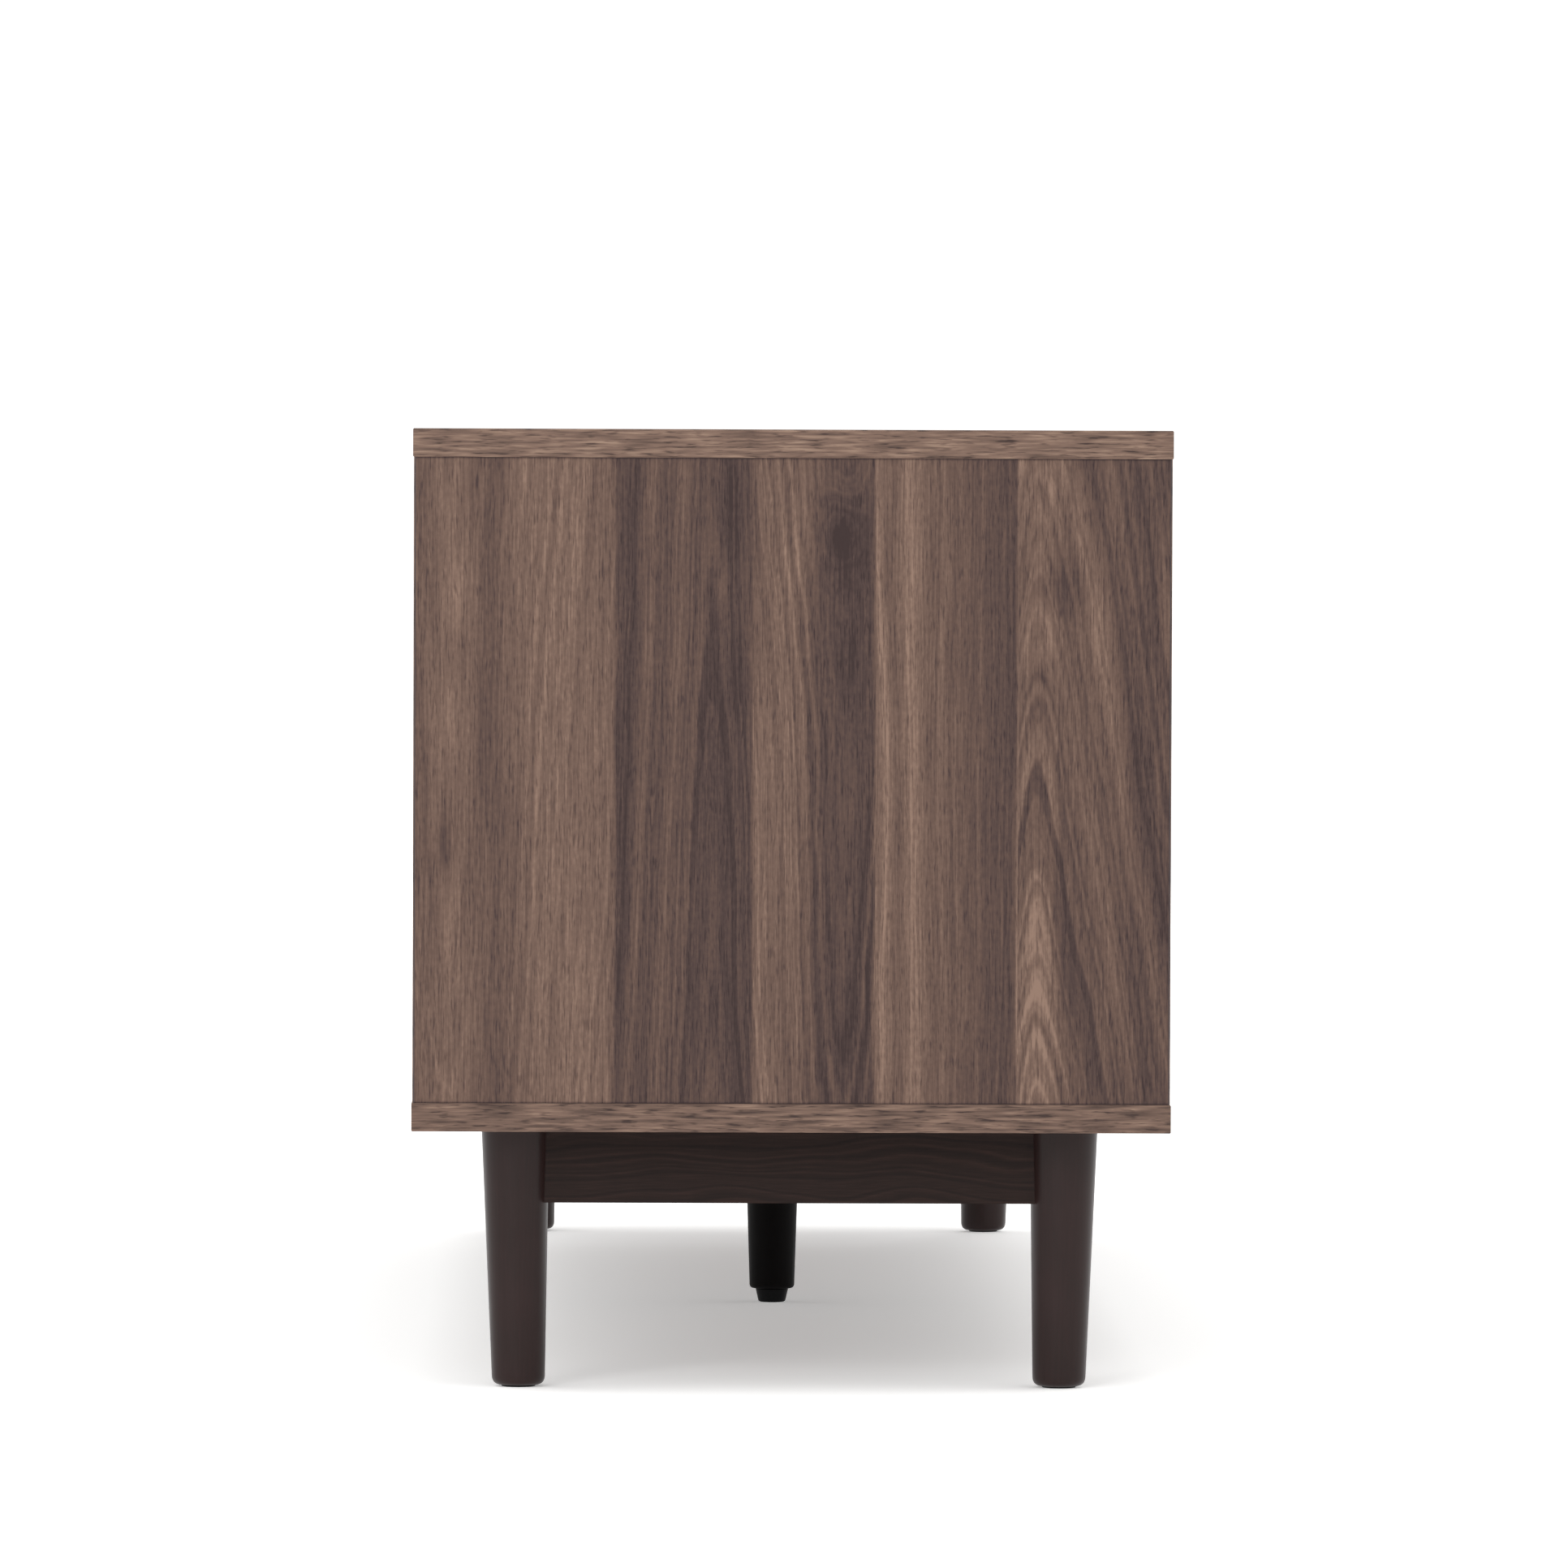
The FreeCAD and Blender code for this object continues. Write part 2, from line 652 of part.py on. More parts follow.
def corner_legs():
    names = {
        "front_left_leg": (-1, -1),
        "front_right_leg": (1, -1),
        "rear_left_leg": (-1, 1),
        "rear_right_leg": (1, 1),
    }
    legs = {}
    for name, (sx, sy) in names.items():
        solid = tapered_leg(sx * LEG_X, sy * LEG_Y, GLIDE, LEG_TOP_R, LEG_FOOT_R,
                            -sx * LEG_LEAN, -sy * LEG_LEAN, LEG_ROUND)
        foot = (sx * (LEG_X - LEG_LEAN), sy * (LEG_Y - LEG_LEAN))
        legs[name] = (solid, (sx * LEG_X, sy * LEG_Y), foot)
    return legs


def bored_corner_leg(solid, top, foot):
    return without(solid, [
        rod(STUD_R, (*top, LEG_HEIGHT - STUD_IN_LEG), UP, STUD_IN_LEG),
        rod(NAIL_R, (*foot, GLIDE), UP, NAIL),
    ])


def middle_leg():
    return tapered_leg(0, 0, MID_LEG_FOOT_Z, MID_LEG_TOP_R, MID_LEG_FOOT_R, 0, 0,
                       MID_LEG_ROUND)


def bored_middle_leg():
    return without(middle_leg(), [
        rod(STUD_R, (0, 0, LEG_HEIGHT - STUD_IN_LEG), UP, STUD_IN_LEG),
        rod(BUSH_R, (0, 0, MID_LEG_FOOT_Z), UP, BUSH),
        rod(STEM_BORE_R, (0, 0, MID_LEG_FOOT_Z), UP, STEM_BORE_Z - MID_LEG_FOOT_Z),
    ])


def stud_places():
    corners = [(sx * LEG_X, sy * LEG_Y) for sx in (-1, 1) for sy in (-1, 1)]
    return corners + [(0.0, 0.0)]


def leg_studs():
    return [rod(STUD_R, (x, y, LEG_HEIGHT - STUD_IN_LEG), UP,
                STUD_IN_LEG + INSERT - STUD_END_GAP)
            for x, y in stud_places()]


def threaded_inserts():
    return [
        rod(INSERT_R, (x, y, LEG_HEIGHT), UP, INSERT).cut(
            rod(STUD_R, (x, y, LEG_HEIGHT), UP, INSERT - STUD_END_GAP))
        for x, y in stud_places()
    ]


def insert_bores():
    return [rod(INSERT_R, (x, y, LEG_HEIGHT), UP, INSERT) for x, y in stud_places()]


def leg_glides(legs):
    return [
        fused([rod(GLIDE_R, (*foot, 0), UP, GLIDE), rod(NAIL_R, (*foot, GLIDE), UP, NAIL)])
        for _, _, foot in legs.values()
    ]


def bracket(cuts_only=False):
    """An angle bracket in its corner: one leaf on the board above, one on the apron at y < 0."""
    lift = BRACKET_HOLE
    if cuts_only:
        return [
            rod(SCREW_R, (0, lift, 0), UP, SCREW),
            rod(SCREW_R, (0, 0, -lift), FRONT, SCREW),
        ]
    half = BRACKET_WIDTH / 2
    angle = fused([
        block((-half, half), (0, BRACKET_LEAF), (-BRACKET_STEEL, 0)),
        block((-half, half), (0, BRACKET_STEEL), (-BRACKET_LEAF, 0)),
    ])
    return angle.cut(Part.makeCompound([
        rod(SCREW_R, (0, lift, -BRACKET_STEEL), UP, BRACKET_STEEL),
        rod(SCREW_R, (0, 0, -lift), REAR, BRACKET_STEEL),
    ]))


def bracket_screws():
    lift = BRACKET_HOLE
    return [
        fused([
            rod(SCREW_R, (0, lift, -BRACKET_STEEL), UP, BRACKET_STEEL + SCREW),
            rod(SCREW_HEAD_R, (0, lift, -BRACKET_STEEL - SCREW_HEAD), UP, SCREW_HEAD),
        ]),
        fused([
            rod(SCREW_R, (0, BRACKET_STEEL, -lift), FRONT, BRACKET_STEEL + SCREW),
            rod(SCREW_HEAD_R, (0, BRACKET_STEEL, -lift), REAR, SCREW_HEAD),
        ]),
    ]


def bracket_places():
    """(apron, corner point, direction from the apron's face into the cabinet)."""
    half = BOARD / 2
    found = []
    for x in BRACKET_X:
        found.append(("front_apron", (x, -LEG_Y + half, LEG_HEIGHT), REAR))
        found.append(("rear_apron", (x, LEG_Y - half, LEG_HEIGHT), FRONT))
    found.append(("left_apron", (-LEG_X + half, 0, LEG_HEIGHT), RIGHT))
    found.append(("right_apron", (LEG_X - half, 0, LEG_HEIGHT), LEFT))
    found.append(("centre_rail_front", (half, -LEG_Y / 2, LEG_HEIGHT), RIGHT))
    found.append(("centre_rail_rear", (half, LEG_Y / 2, LEG_HEIGHT), RIGHT))
    return found


def at_bracket(shape, corner, inward):
    """shape moved from the bracket's own frame: its +y turns to inward, +z stays up."""
    return placed(shape, corner, UP, inward.cross(UP))


def aprons(leg_solids):
    """The rails between the legs, each coped to the legs that it meets."""
    half = BOARD / 2
    z = (LEG_HEIGHT - APRON_HEIGHT, LEG_HEIGHT)
    long_x = (-LEG_X, LEG_X)
    short_y = (-LEG_Y, LEG_Y)
    rails = {
        "front_apron": block(long_x, (-LEG_Y - half, -LEG_Y + half), z),
        "rear_apron": block(long_x, (LEG_Y - half, LEG_Y + half), z),
        "left_apron": block((-LEG_X - half, -LEG_X + half), short_y, z),
        "right_apron": block((LEG_X - half, LEG_X + half), short_y, z),
        "centre_rail_front": block((-half, half), (-LEG_Y + half, 0), z),
        "centre_rail_rear": block((-half, half), (0, LEG_Y - half), z),
    }
    coped = {name: rail.cut(Part.makeCompound(leg_solids)) for name, rail in rails.items()}
    for name, corner, inward in bracket_places():
        cuts = [at_bracket(s, corner, inward) for s in bracket(cuts_only=True)]
        coped[name] = without(coped[name], cuts)
    return coped


def levelling_pad():
    """The foot's plastic pad, wider at the top, with a blind hole for the stem."""
    top_z = MID_LEG_FOOT_Z - FOOT_GAP
    cone = Part.makeCone(FOOT_BOTTOM_R, FOOT_TOP_R, top_z)
    rim = [e for e in cone.Edges if all(abs(v.Z) < TINY for v in e.Vertexes)]
    pad = cone.makeFillet(FOOT_ROUND, rim)
    return pad.cut(rod(STUD_R + STEM_FIT, (0, 0, STEM_START_Z - STEM_FIT), UP, top_z))


# ---- write every node ----
def save(name, shapes):
    shape = shapes[0] if len(shapes) == 1 else Part.makeCompound(shapes)
    solids = shape.Solids
    if not shape.isValid() or any(s.Volume <= 0 for s in solids):
        raise RuntimeError(f"{name} is not a valid closed solid")
    shape.exportStep(f"parts/{name}.step")
    print(f"{name}: {len(solids)} solids, {shape.Volume / 1000:.1f} cm3")


def main():
    os.makedirs("parts", exist_ok=True)
    bolts, cams, dowels, cuts = fittings()
    grooves = grooves_for_back()
    for name in ("left_side_panel", "right_side_panel", "left_divider", "right_divider"):
        cuts[name] += pin_holes(name)
    for name, groove in grooves.items():
        cuts[name].append(groove)
    cuts["top_panel"] += track_screw_holes(CEILING_Z, UP)
    cuts["bottom_panel"] += track_screw_holes(FLOOR_Z, DOWN) + insert_bores()
    for _, corner, inward in bracket_places():
        cuts["bottom_panel"].append(at_bracket(bracket(cuts_only=True)[0], corner, inward))

    top_z, bottom_z = (CEILING_Z, HEIGHT), (LEG_HEIGHT, FLOOR_Z)
    boards = {
        "top_panel": long_panel(top_z),
        "bottom_panel": long_panel(bottom_z),
        "left_side_panel": side_panel(-1),
        "right_side_panel": side_panel(1),
        "left_divider": divider(-1),
        "right_divider": divider(1),
        "centre_shelf": shelf("centre_shelf"),
        "left_shelf": shelf("left_shelf"),
        "right_shelf": shelf("right_shelf"),
    }
    for name, board in boards.items():
        save(name, [without(board, cuts.get(name, []))])
    save("top_edge_banding", long_panel_bands(top_z))
    save("bottom_edge_banding", long_panel_bands(bottom_z))
    save("side_edge_banding", side_bands())
    save("divider_edge_banding", divider_bands())
    save("shelf_edge_banding", shelf_bands())
    save("cam_bolts", bolts)
    save("cam_locks", cams)
    save("dowels", dowels)
    save("shelf_pins", shelf_pins())
    for name, panel in back_panels().items():
        save(name, [panel])
    save("back_joiner_strips", joiner_strips())
    save("cable_grommets", cable_grommets())

    base, rib = FLOOR_Z + TRACK_BASE, FLOOR_Z + TRACK_BASE + LOWER_RIB
    save("lower_track", [track((FLOOR_Z, base), (base, rib))])
    base, rib = CEILING_Z - TRACK_BASE, CEILING_Z - TRACK_BASE - UPPER_RIB
    save("upper_track", [track((CEILING_Z, base), (base, rib))])
    save("track_screws", [track_screw(x, z, inward) for x in TRACK_SCREW_X
                          for z, inward in ((FLOOR_Z, DOWN), (CEILING_Z, UP))])
    for label, side in (("left", -1), ("right", 1)):
        save(f"{label}_door", [door(side)])
        save(f"{label}_door_edge_banding", door_bands(side))
        save(f"{label}_door_gliders", door_gliders(side))
        save(f"{label}_door_top_guides", door_top_guides(side))
        save(f"{label}_door_finger_cup", [finger_cup(side)])

    legs = corner_legs()
    for name, (solid, top, foot) in legs.items():
        save(name, [bored_corner_leg(solid, top, foot)])
    save("centre_leg", [bored_middle_leg()])
    save("leg_studs", leg_studs())
    save("leg_threaded_inserts", threaded_inserts())
    save("leg_glides", leg_glides(legs))
    for name, rail in aprons([leg[0] for leg in legs.values()] + [middle_leg()]).items():
        save(name, [rail])
    save("apron_brackets", [at_bracket(bracket(), c, i) for _, c, i in bracket_places()])
    save("bracket_screws", [at_bracket(s, c, i) for _, c, i in bracket_places()
                            for s in bracket_screws()])
    bush = rod(BUSH_R, (0, 0, MID_LEG_FOOT_Z), UP, BUSH)
    save("levelling_bush", [bush.cut(rod(STUD_R + STEM_FIT, (0, 0, MID_LEG_FOOT_Z), UP, BUSH))])
    save("levelling_stem", [rod(STUD_R, (0, 0, STEM_START_Z), UP, STEM)])
    save("levelling_pad", [levelling_pad()])


main()
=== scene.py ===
import math

import bpy
import numpy as np
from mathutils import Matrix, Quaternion, Vector


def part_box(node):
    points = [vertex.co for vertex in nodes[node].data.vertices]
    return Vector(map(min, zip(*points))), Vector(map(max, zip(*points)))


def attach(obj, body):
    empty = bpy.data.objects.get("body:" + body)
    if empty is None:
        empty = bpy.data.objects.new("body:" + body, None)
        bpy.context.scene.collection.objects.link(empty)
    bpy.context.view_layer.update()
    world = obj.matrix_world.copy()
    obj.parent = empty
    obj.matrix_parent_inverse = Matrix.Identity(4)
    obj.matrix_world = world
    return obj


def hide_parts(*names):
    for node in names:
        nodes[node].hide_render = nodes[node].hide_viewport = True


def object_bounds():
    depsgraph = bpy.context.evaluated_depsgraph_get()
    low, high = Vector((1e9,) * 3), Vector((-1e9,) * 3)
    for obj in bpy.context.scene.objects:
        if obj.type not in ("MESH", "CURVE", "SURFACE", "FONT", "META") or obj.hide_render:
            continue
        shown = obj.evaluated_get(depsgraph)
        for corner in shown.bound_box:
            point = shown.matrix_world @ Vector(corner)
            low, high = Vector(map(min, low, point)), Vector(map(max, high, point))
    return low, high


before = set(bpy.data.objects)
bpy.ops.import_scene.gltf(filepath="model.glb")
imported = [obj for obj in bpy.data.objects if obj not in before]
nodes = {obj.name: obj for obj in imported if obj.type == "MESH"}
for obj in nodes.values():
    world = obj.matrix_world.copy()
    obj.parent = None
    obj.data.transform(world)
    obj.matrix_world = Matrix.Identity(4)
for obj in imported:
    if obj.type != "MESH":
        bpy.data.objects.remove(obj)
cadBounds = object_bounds()
mm = 0.001
usualNoise = (0.3, 0.7)      # nearly all of a noise's values lie between these
print("frame loaded:", len(nodes), "nodes")


# sRGB hex to the linear colour that shaders take
def linear(hexColour):
    channels = np.array([int(hexColour[i:i + 2], 16) for i in (1, 3, 5)]) / 255
    curve = np.where(channels <= 0.04045, channels / 12.92, ((channels + 0.055) / 1.055) ** 2.4)
    return (*curve.tolist(), 1.0)


# adds one node: its settings, then its inputs (a value, a socket, or a node's first output)
def put(tree, kind, links=None, stops=None, between="LINEAR", **settings):
    node = tree.nodes.new("ShaderNode" + kind)
    for name, value in settings.items():
        setattr(node, name, value)
    for socket, value in (links or {}).items():
        source = value.outputs[0] if hasattr(value, "outputs") else value
        if isinstance(source, bpy.types.NodeSocket):
            tree.links.new(source, node.inputs[socket])
        else:
            node.inputs[socket].default_value = source
    for place, (position, colour) in enumerate(stops or []):
        ramp = node.color_ramp
        ramp.interpolation = between
        element = ramp.elements[place] if place < 2 else ramp.elements.new(position)
        element.position = position
        element.color = colour
    return node


def newMaterial(name):
    material = bpy.data.materials.new(name)
    material.use_nodes = True
    material.node_tree.nodes.clear()
    return material, material.node_tree


# The printed paper of the laminate: five planks side by side, 400 mm before it repeats.
# Each plank: left edge, ring centre and depth of the pith (mm), taper, ring width (mm),
# contrast.
walnutPrint = {
    "width": 400.0,
    "planks": [
        (0, 20, 10, -0.075, 3.4, 0.55),
        (106.5, 158, 7, 0.034, 2.5, 0.75),
        (179.5, 226, 12, -0.060, 2.8, 0.90),
        (243, 160, 2, 0.004, 1.6, 0.48),
        (318, 329, 5, 0.175, 3.4, 0.85),
    ],
    # slow change of tone across the sheet, 0 dark to 1 light
    "tones": [
        (0, 0.52), (22, 0.62), (40, 0.48), (48, 0.56), (64, 0.75), (84, 0.78), (106, 0.60),
        (107, 0.24), (120, 0.36), (145, 0.44), (160, 0.38), (179, 0.27),
        (180, 0.66), (203, 0.64), (215, 0.38), (228, 0.30), (242, 0.30),
        (243.5, 0.68), (262, 0.74), (280, 0.60), (298, 0.42), (317.5, 0.30),
        (318.5, 0.62), (336, 0.64), (344, 0.44), (366, 0.52), (382, 0.36), (400, 0.34),
    ],
    "colours": ["#342625", "#453532", "#58443c", "#6b554a", "#856c5e"],
    # The knot pushes the rings round itself. Place across and along, half width and height.
    "knot": (226, 452, 10, 21),
    "knotPush": 11.0,
    # where the rings show most: the same four numbers
    "bold": (328, 236, 13, 84),
    # lighter and darker marks: the same four numbers, then how much lighter
    "marks": [
        (227, 450, 12, 28, -0.18), (226, 452, 1.7, 2.8, -0.60), (229, 402, 7, 36, -0.22),
        (205, 452, 7, 30, 0.12), (23, 424, 8, 24, 0.16), (19, 356, 8, 22, 0.14),
        (17, 288, 5, 14, -0.26), (20, 222, 9, 28, 0.14), (45, 330, 5, 90, -0.14),
        (168, 466, 6, 26, -0.22), (170, 372, 6, 26, -0.15), (161, 425, 4, 9, 0.16),
        (338, 424, 13, 14, -0.22), (356, 390, 16, 60, 0.10), (328, 250, 9, 76, 0.20),
        (331, 370, 14, 22, -0.12), (334, 474, 14, 20, 0.12), (193, 330, 11, 110, 0.10),
        (396, 420, 3, 60, 0.12),
    ],
    # Each noise: its size across and along the grain (mm) and its detail. The warp and the
    # waver also have how far they move the rings (mm), the others how much they lighten.
    "warp": {"across": 70, "along": 260, "detail": 1.0, "drift": 9.0},
    "waver": {"across": 14, "along": 55, "detail": 2.0, "drift": 2.3},
    # real fibres are finer than 0.3 mm; drawn about 1 mm wide so that they show
    "fibre": {"across": 1.1, "along": 46, "detail": 2.0, "strength": 0.62},
    # real pores are 0.2 mm wide; drawn 0.5 mm wide so that they show
    "pore": {"across": 0.85, "along": 9.5, "detail": 1.0, "strength": -0.28,
             "from": 0.56, "to": 0.72},
    "speckle": {"across": 1.9, "along": 3.4, "detail": 2.0, "strength": 0.34},
    "broadRing": {"scale": 0.17, "detail": 1.0, "strength": 0.95},
    "fineRing": {"scale": 1.0, "detail": 2.0, "strength": 0.72},
    "boldContrast": 0.8,        # added to a plank's contrast in the bold oval
    # painted shade: a dark line where a board meets another, mm
    "jointShadeHalfWidth": 900.0, "jointShadeHalfHeight": 0.9, "jointShadeStrength": -0.70,
    "edgeOfOval": 0.42,         # what is left of an oval at its half width or height
    "plankSeeds": 40.0,         # spread of the planks' own seeds
    "poreDepth": 0.05 * mm, "poreBump": 0.25,
    "roughness": (0.50, 0.60),
    "specular": 0.2,
}
# A colour ramp holds numbers from 0 to 1, so the planks' numbers are divided by these, and
# the taper, from -0.5 to 0.5, is lifted by half.
rampUnit = {"depth": 100.0, "taper": 0.5, "ringWidth": 10.0, "seed": 97}


# Walnut-print melamine laminate: a matt printed sheet pressed on board. It gives the eye
# planks of different tone, with rings, fibres and short dark pores that run along them.
# Ring number = distance from the pith to the point, plus taper times the way along.
def walnutLaminate(name, across, along, shift=(0.0, 0.0), seed=0.0, joints=()):
    s = walnutPrint
    material, tree = newMaterial(name)
    coordinate = put(tree, "TexCoord")
    inMm = put(tree, "VectorMath", {0: coordinate.outputs["Object"], "Scale": 1000.0},
               operation="SCALE")
    parts = put(tree, "SeparateXYZ", {0: inMm})
    acrossMm = put(tree, "Math", {0: parts.outputs[across], 1: shift[0]}, operation="ADD")
    v = put(tree, "Math", {0: parts.outputs[along], 1: shift[1]}, operation="ADD")
    u = put(tree, "Math", {0: acrossMm, 1: s["width"], 2: 0.0}, operation="WRAP")
    place = put(tree, "Math", {0: u, 1: s["width"]}, operation="DIVIDE")

    shapeStops, lookStops = [], []
    for left, centre, depth, taper, ringWidth, contrast in s["planks"]:
        shapeStops.append((left / s["width"], (centre / s["width"], depth / rampUnit["depth"],
                                               taper + rampUnit["taper"], 1)))
        lookStops.append((left / s["width"], (
            ringWidth / rampUnit["ringWidth"], contrast,
            centre % rampUnit["seed"] / rampUnit["seed"], 1)))
    shapes = put(tree, "SeparateColor", {0: put(
        tree, "ValToRGB", {0: place}, between="CONSTANT", stops=shapeStops)})
    looks = put(tree, "SeparateColor", {0: put(
        tree, "ValToRGB", {0: place}, between="CONSTANT", stops=lookStops)})
    plankSeed = put(tree, "Math", {0: looks.outputs[2], 1: s["plankSeeds"], 2: seed},
                    operation="MULTIPLY_ADD")

    # noise in a stretched frame, with its own seed for each plank
    layers = {}
    for key in ("warp", "waver", "fibre", "pore", "speckle"):
        stepsAcross = put(tree, "Math", {0: u, 1: s[key]["across"]}, operation="DIVIDE")
        stepsAlong = put(tree, "Math", {0: v, 1: s[key]["along"]}, operation="DIVIDE")
        point = put(tree, "CombineXYZ", {0: stepsAcross, 1: stepsAlong, 2: plankSeed})
        layers[key] = put(tree, "TexNoise", {"Vector": point, "Scale": 1.0,
                                             "Detail": s[key]["detail"]})

    centre = put(tree, "Math", {0: shapes.outputs[0], 1: s["width"]}, operation="MULTIPLY")
    depth = put(tree, "Math", {0: shapes.outputs[1], 1: rampUnit["depth"]},
                operation="MULTIPLY")
    taper = put(tree, "Math", {0: shapes.outputs[2], 1: rampUnit["taper"]},
                operation="SUBTRACT")
    aside = put(tree, "Math", {0: u, 1: centre}, operation="SUBTRACT")
    radius = put(tree, "VectorMath", {0: put(tree, "CombineXYZ", {0: aside, 1: depth})},
                 operation="LENGTH").outputs["Value"]
    rings = put(tree, "Math", {0: v, 1: taper, 2: radius}, operation="MULTIPLY_ADD")
    for key in ("warp", "waver"):
        centred = put(tree, "Math", {0: layers[key], 1: 0.5}, operation="SUBTRACT")
        rings = put(tree, "Math", {0: centred, 1: 2 * s[key]["drift"], 2: rings},
                    operation="MULTIPLY_ADD")

    # a soft oval: 1 at its middle, then edgeOfOval to the power of the distance squared,
    # counted in half widths and half heights
    onSheet = put(tree, "CombineXYZ", {0: u, 1: v})

    def softOval(x, y, wide, tall):
        away = put(tree, "VectorMath", {0: onSheet, 1: (1 / wide, 1 / tall, 0.0),
                                        2: (-x / wide, -y / tall, 0.0)},
                   operation="MULTIPLY_ADD")
        square = put(tree, "VectorMath", {0: away, 1: away}, operation="DOT_PRODUCT")
        return put(tree, "Math", {0: s["edgeOfOval"], 1: square.outputs["Value"]},
                   operation="POWER")

    rings = put(tree, "Math", {0: softOval(*s["knot"]), 1: s["knotPush"], 2: rings},
                operation="MULTIPLY_ADD")

    ringWidth = put(tree, "Math", {0: looks.outputs[0], 1: rampUnit["ringWidth"]},
                    operation="MULTIPLY")
    ringNumber = put(tree, "Math", {0: rings, 1: ringWidth}, operation="DIVIDE")
    seeded = put(tree, "Math", {0: ringNumber, 1: plankSeed}, operation="ADD")
    contrast = put(tree, "Math", {0: softOval(*s["bold"]), 1: s["boldContrast"],
                                  2: looks.outputs[1]}, operation="MULTIPLY_ADD")
    total = put(tree, "ValToRGB", {0: place}, stops=[
        (position / s["width"], (tone, tone, tone, 1)) for position, tone in s["tones"]])
    for key in ("broadRing", "fineRing"):
        layer = put(tree, "TexNoise", {"W": seeded, "Scale": s[key]["scale"],
                                       "Detail": s[key]["detail"]}, noise_dimensions="1D")
        centred = put(tree, "Math", {0: layer, 1: 0.5}, operation="SUBTRACT")
        ring = put(tree, "Math", {0: centred, 1: contrast}, operation="MULTIPLY")
        total = put(tree, "Math", {0: ring, 1: s[key]["strength"], 2: total},
                    operation="MULTIPLY_ADD")
    for key in ("fibre", "speckle"):
        centred = put(tree, "Math", {0: layers[key], 1: 0.5}, operation="SUBTRACT")
        total = put(tree, "Math", {0: centred, 1: s[key]["strength"], 2: total},
                    operation="MULTIPLY_ADD")
    pores = put(tree, "MapRange", {0: layers["pore"], 1: s["pore"]["from"],
                                   2: s["pore"]["to"], 3: 0.0, 4: 1.0})
    total = put(tree, "Math", {0: pores, 1: s["pore"]["strength"], 2: total},
                operation="MULTIPLY_ADD")
    # painted shade along the seams with the boards above and below, as very wide ovals
    jointShadeLines = [(s["width"] / 2, joint + shift[1], s["jointShadeHalfWidth"], s["jointShadeHalfHeight"],
              s["jointShadeStrength"]) for joint in joints]
    for *oval, strength in s["marks"] + jointShadeLines:
        total = put(tree, "Math", {0: softOval(*oval), 1: strength, 2: total},
                    operation="MULTIPLY_ADD")

    last = len(s["colours"]) - 1
    colour = put(tree, "ValToRGB", {0: total}, stops=[
        (step / last, linear(shade)) for step, shade in enumerate(s["colours"])])
    bump = put(tree, "Bump", {"Strength": s["poreBump"], "Distance": s["poreDepth"],
                              "Height": pores}, invert=True)
    smooth, coarse = s["roughness"]
    rough = put(tree, "MapRange", {0: layers["fibre"], 1: usualNoise[0], 2: usualNoise[1],
                                   3: smooth, 4: coarse})
    shader = put(tree, "BsdfPrincipled", {
        "Base Color": colour, "Roughness": rough, "IOR": 1.5,
        "Specular IOR Level": s["specular"], "Normal": bump})
    put(tree, "OutputMaterial", {0: shader})
    return material


# Walnut-print ABS edge band: glued strip with fine grain along its length, its cut sides
# show the grey-brown of the dyed plastic.
edgeBandLook = {
    "colours": ["#3c2e2a", "#5c4940", "#755e52", "#927a69"],
    "firstColourAt": 0.12, "colourStep": 0.26,
    "cutSide": "#3f3a3d",
    # sizes across and along the grain, mm
    "grain": {"across": 1.7, "along": 26.0, "strength": 1.35},
    "fleck": {"across": 1.2, "along": 11.0, "strength": -0.36, "from": 0.55, "to": 0.70},
    "shade": -0.1,              # added to every band's tone
    "cutFrom": 0.85,            # how squarely a face must look sideways to be a cut side
    "roughness": 0.52, "specular": 0.2,
}


def edgeBand(name, across, along, other=None, lift=0.0):
    s = edgeBandLook
    material, tree = newMaterial(name)
    coordinate = put(tree, "TexCoord")
    inMm = put(tree, "VectorMath", {0: coordinate.outputs["Object"], "Scale": 1000.0},
               operation="SCALE")
    parts = put(tree, "SeparateXYZ", {0: inMm})
    # strips that turn a corner run along two directions, so their sum is the way along
    way = parts.outputs[along]
    if other:
        way = put(tree, "Math", {0: way, 1: parts.outputs[other]}, operation="ADD")
    layers = {}
    for key in ("grain", "fleck"):
        stepsAcross = put(tree, "Math", {0: parts.outputs[across], 1: s[key]["across"]},
                          operation="DIVIDE")
        stepsAlong = put(tree, "Math", {0: way, 1: s[key]["along"]}, operation="DIVIDE")
        point = put(tree, "CombineXYZ", {0: stepsAcross, 1: stepsAlong})
        layers[key] = put(tree, "TexNoise", {"Vector": point, "Scale": 1.0, "Detail": 2.0})
    total = put(tree, "Math", {0: layers["grain"], 1: s["grain"]["strength"],
                               2: lift + s["shade"]}, operation="MULTIPLY_ADD")
    fleck = put(tree, "MapRange", {0: layers["fleck"], 1: s["fleck"]["from"],
                                   2: s["fleck"]["to"], 3: 0.0, 4: 1.0})
    total = put(tree, "Math", {0: fleck, 1: s["fleck"]["strength"], 2: total},
                operation="MULTIPLY_ADD")
    colour = put(tree, "ValToRGB", {0: total}, stops=[
        (s["firstColourAt"] + s["colourStep"] * step, linear(shade))
        for step, shade in enumerate(s["colours"])])
    facing = put(tree, "SeparateXYZ", {0: coordinate.outputs["Normal"]})
    sideways = put(tree, "Math", {0: facing.outputs[across]}, operation="ABSOLUTE")
    cut = put(tree, "Math", {0: sideways, 1: s["cutFrom"]}, operation="GREATER_THAN")
    both = put(tree, "Mix", {0: cut, 6: colour, 7: linear(s["cutSide"])}, data_type="RGBA")
    shader = put(tree, "BsdfPrincipled", {
        "Base Color": both.outputs[2], "Roughness": s["roughness"], "IOR": 1.5,
        "Specular IOR Level": s["specular"]})
    put(tree, "OutputMaterial", {0: shader})
    return material


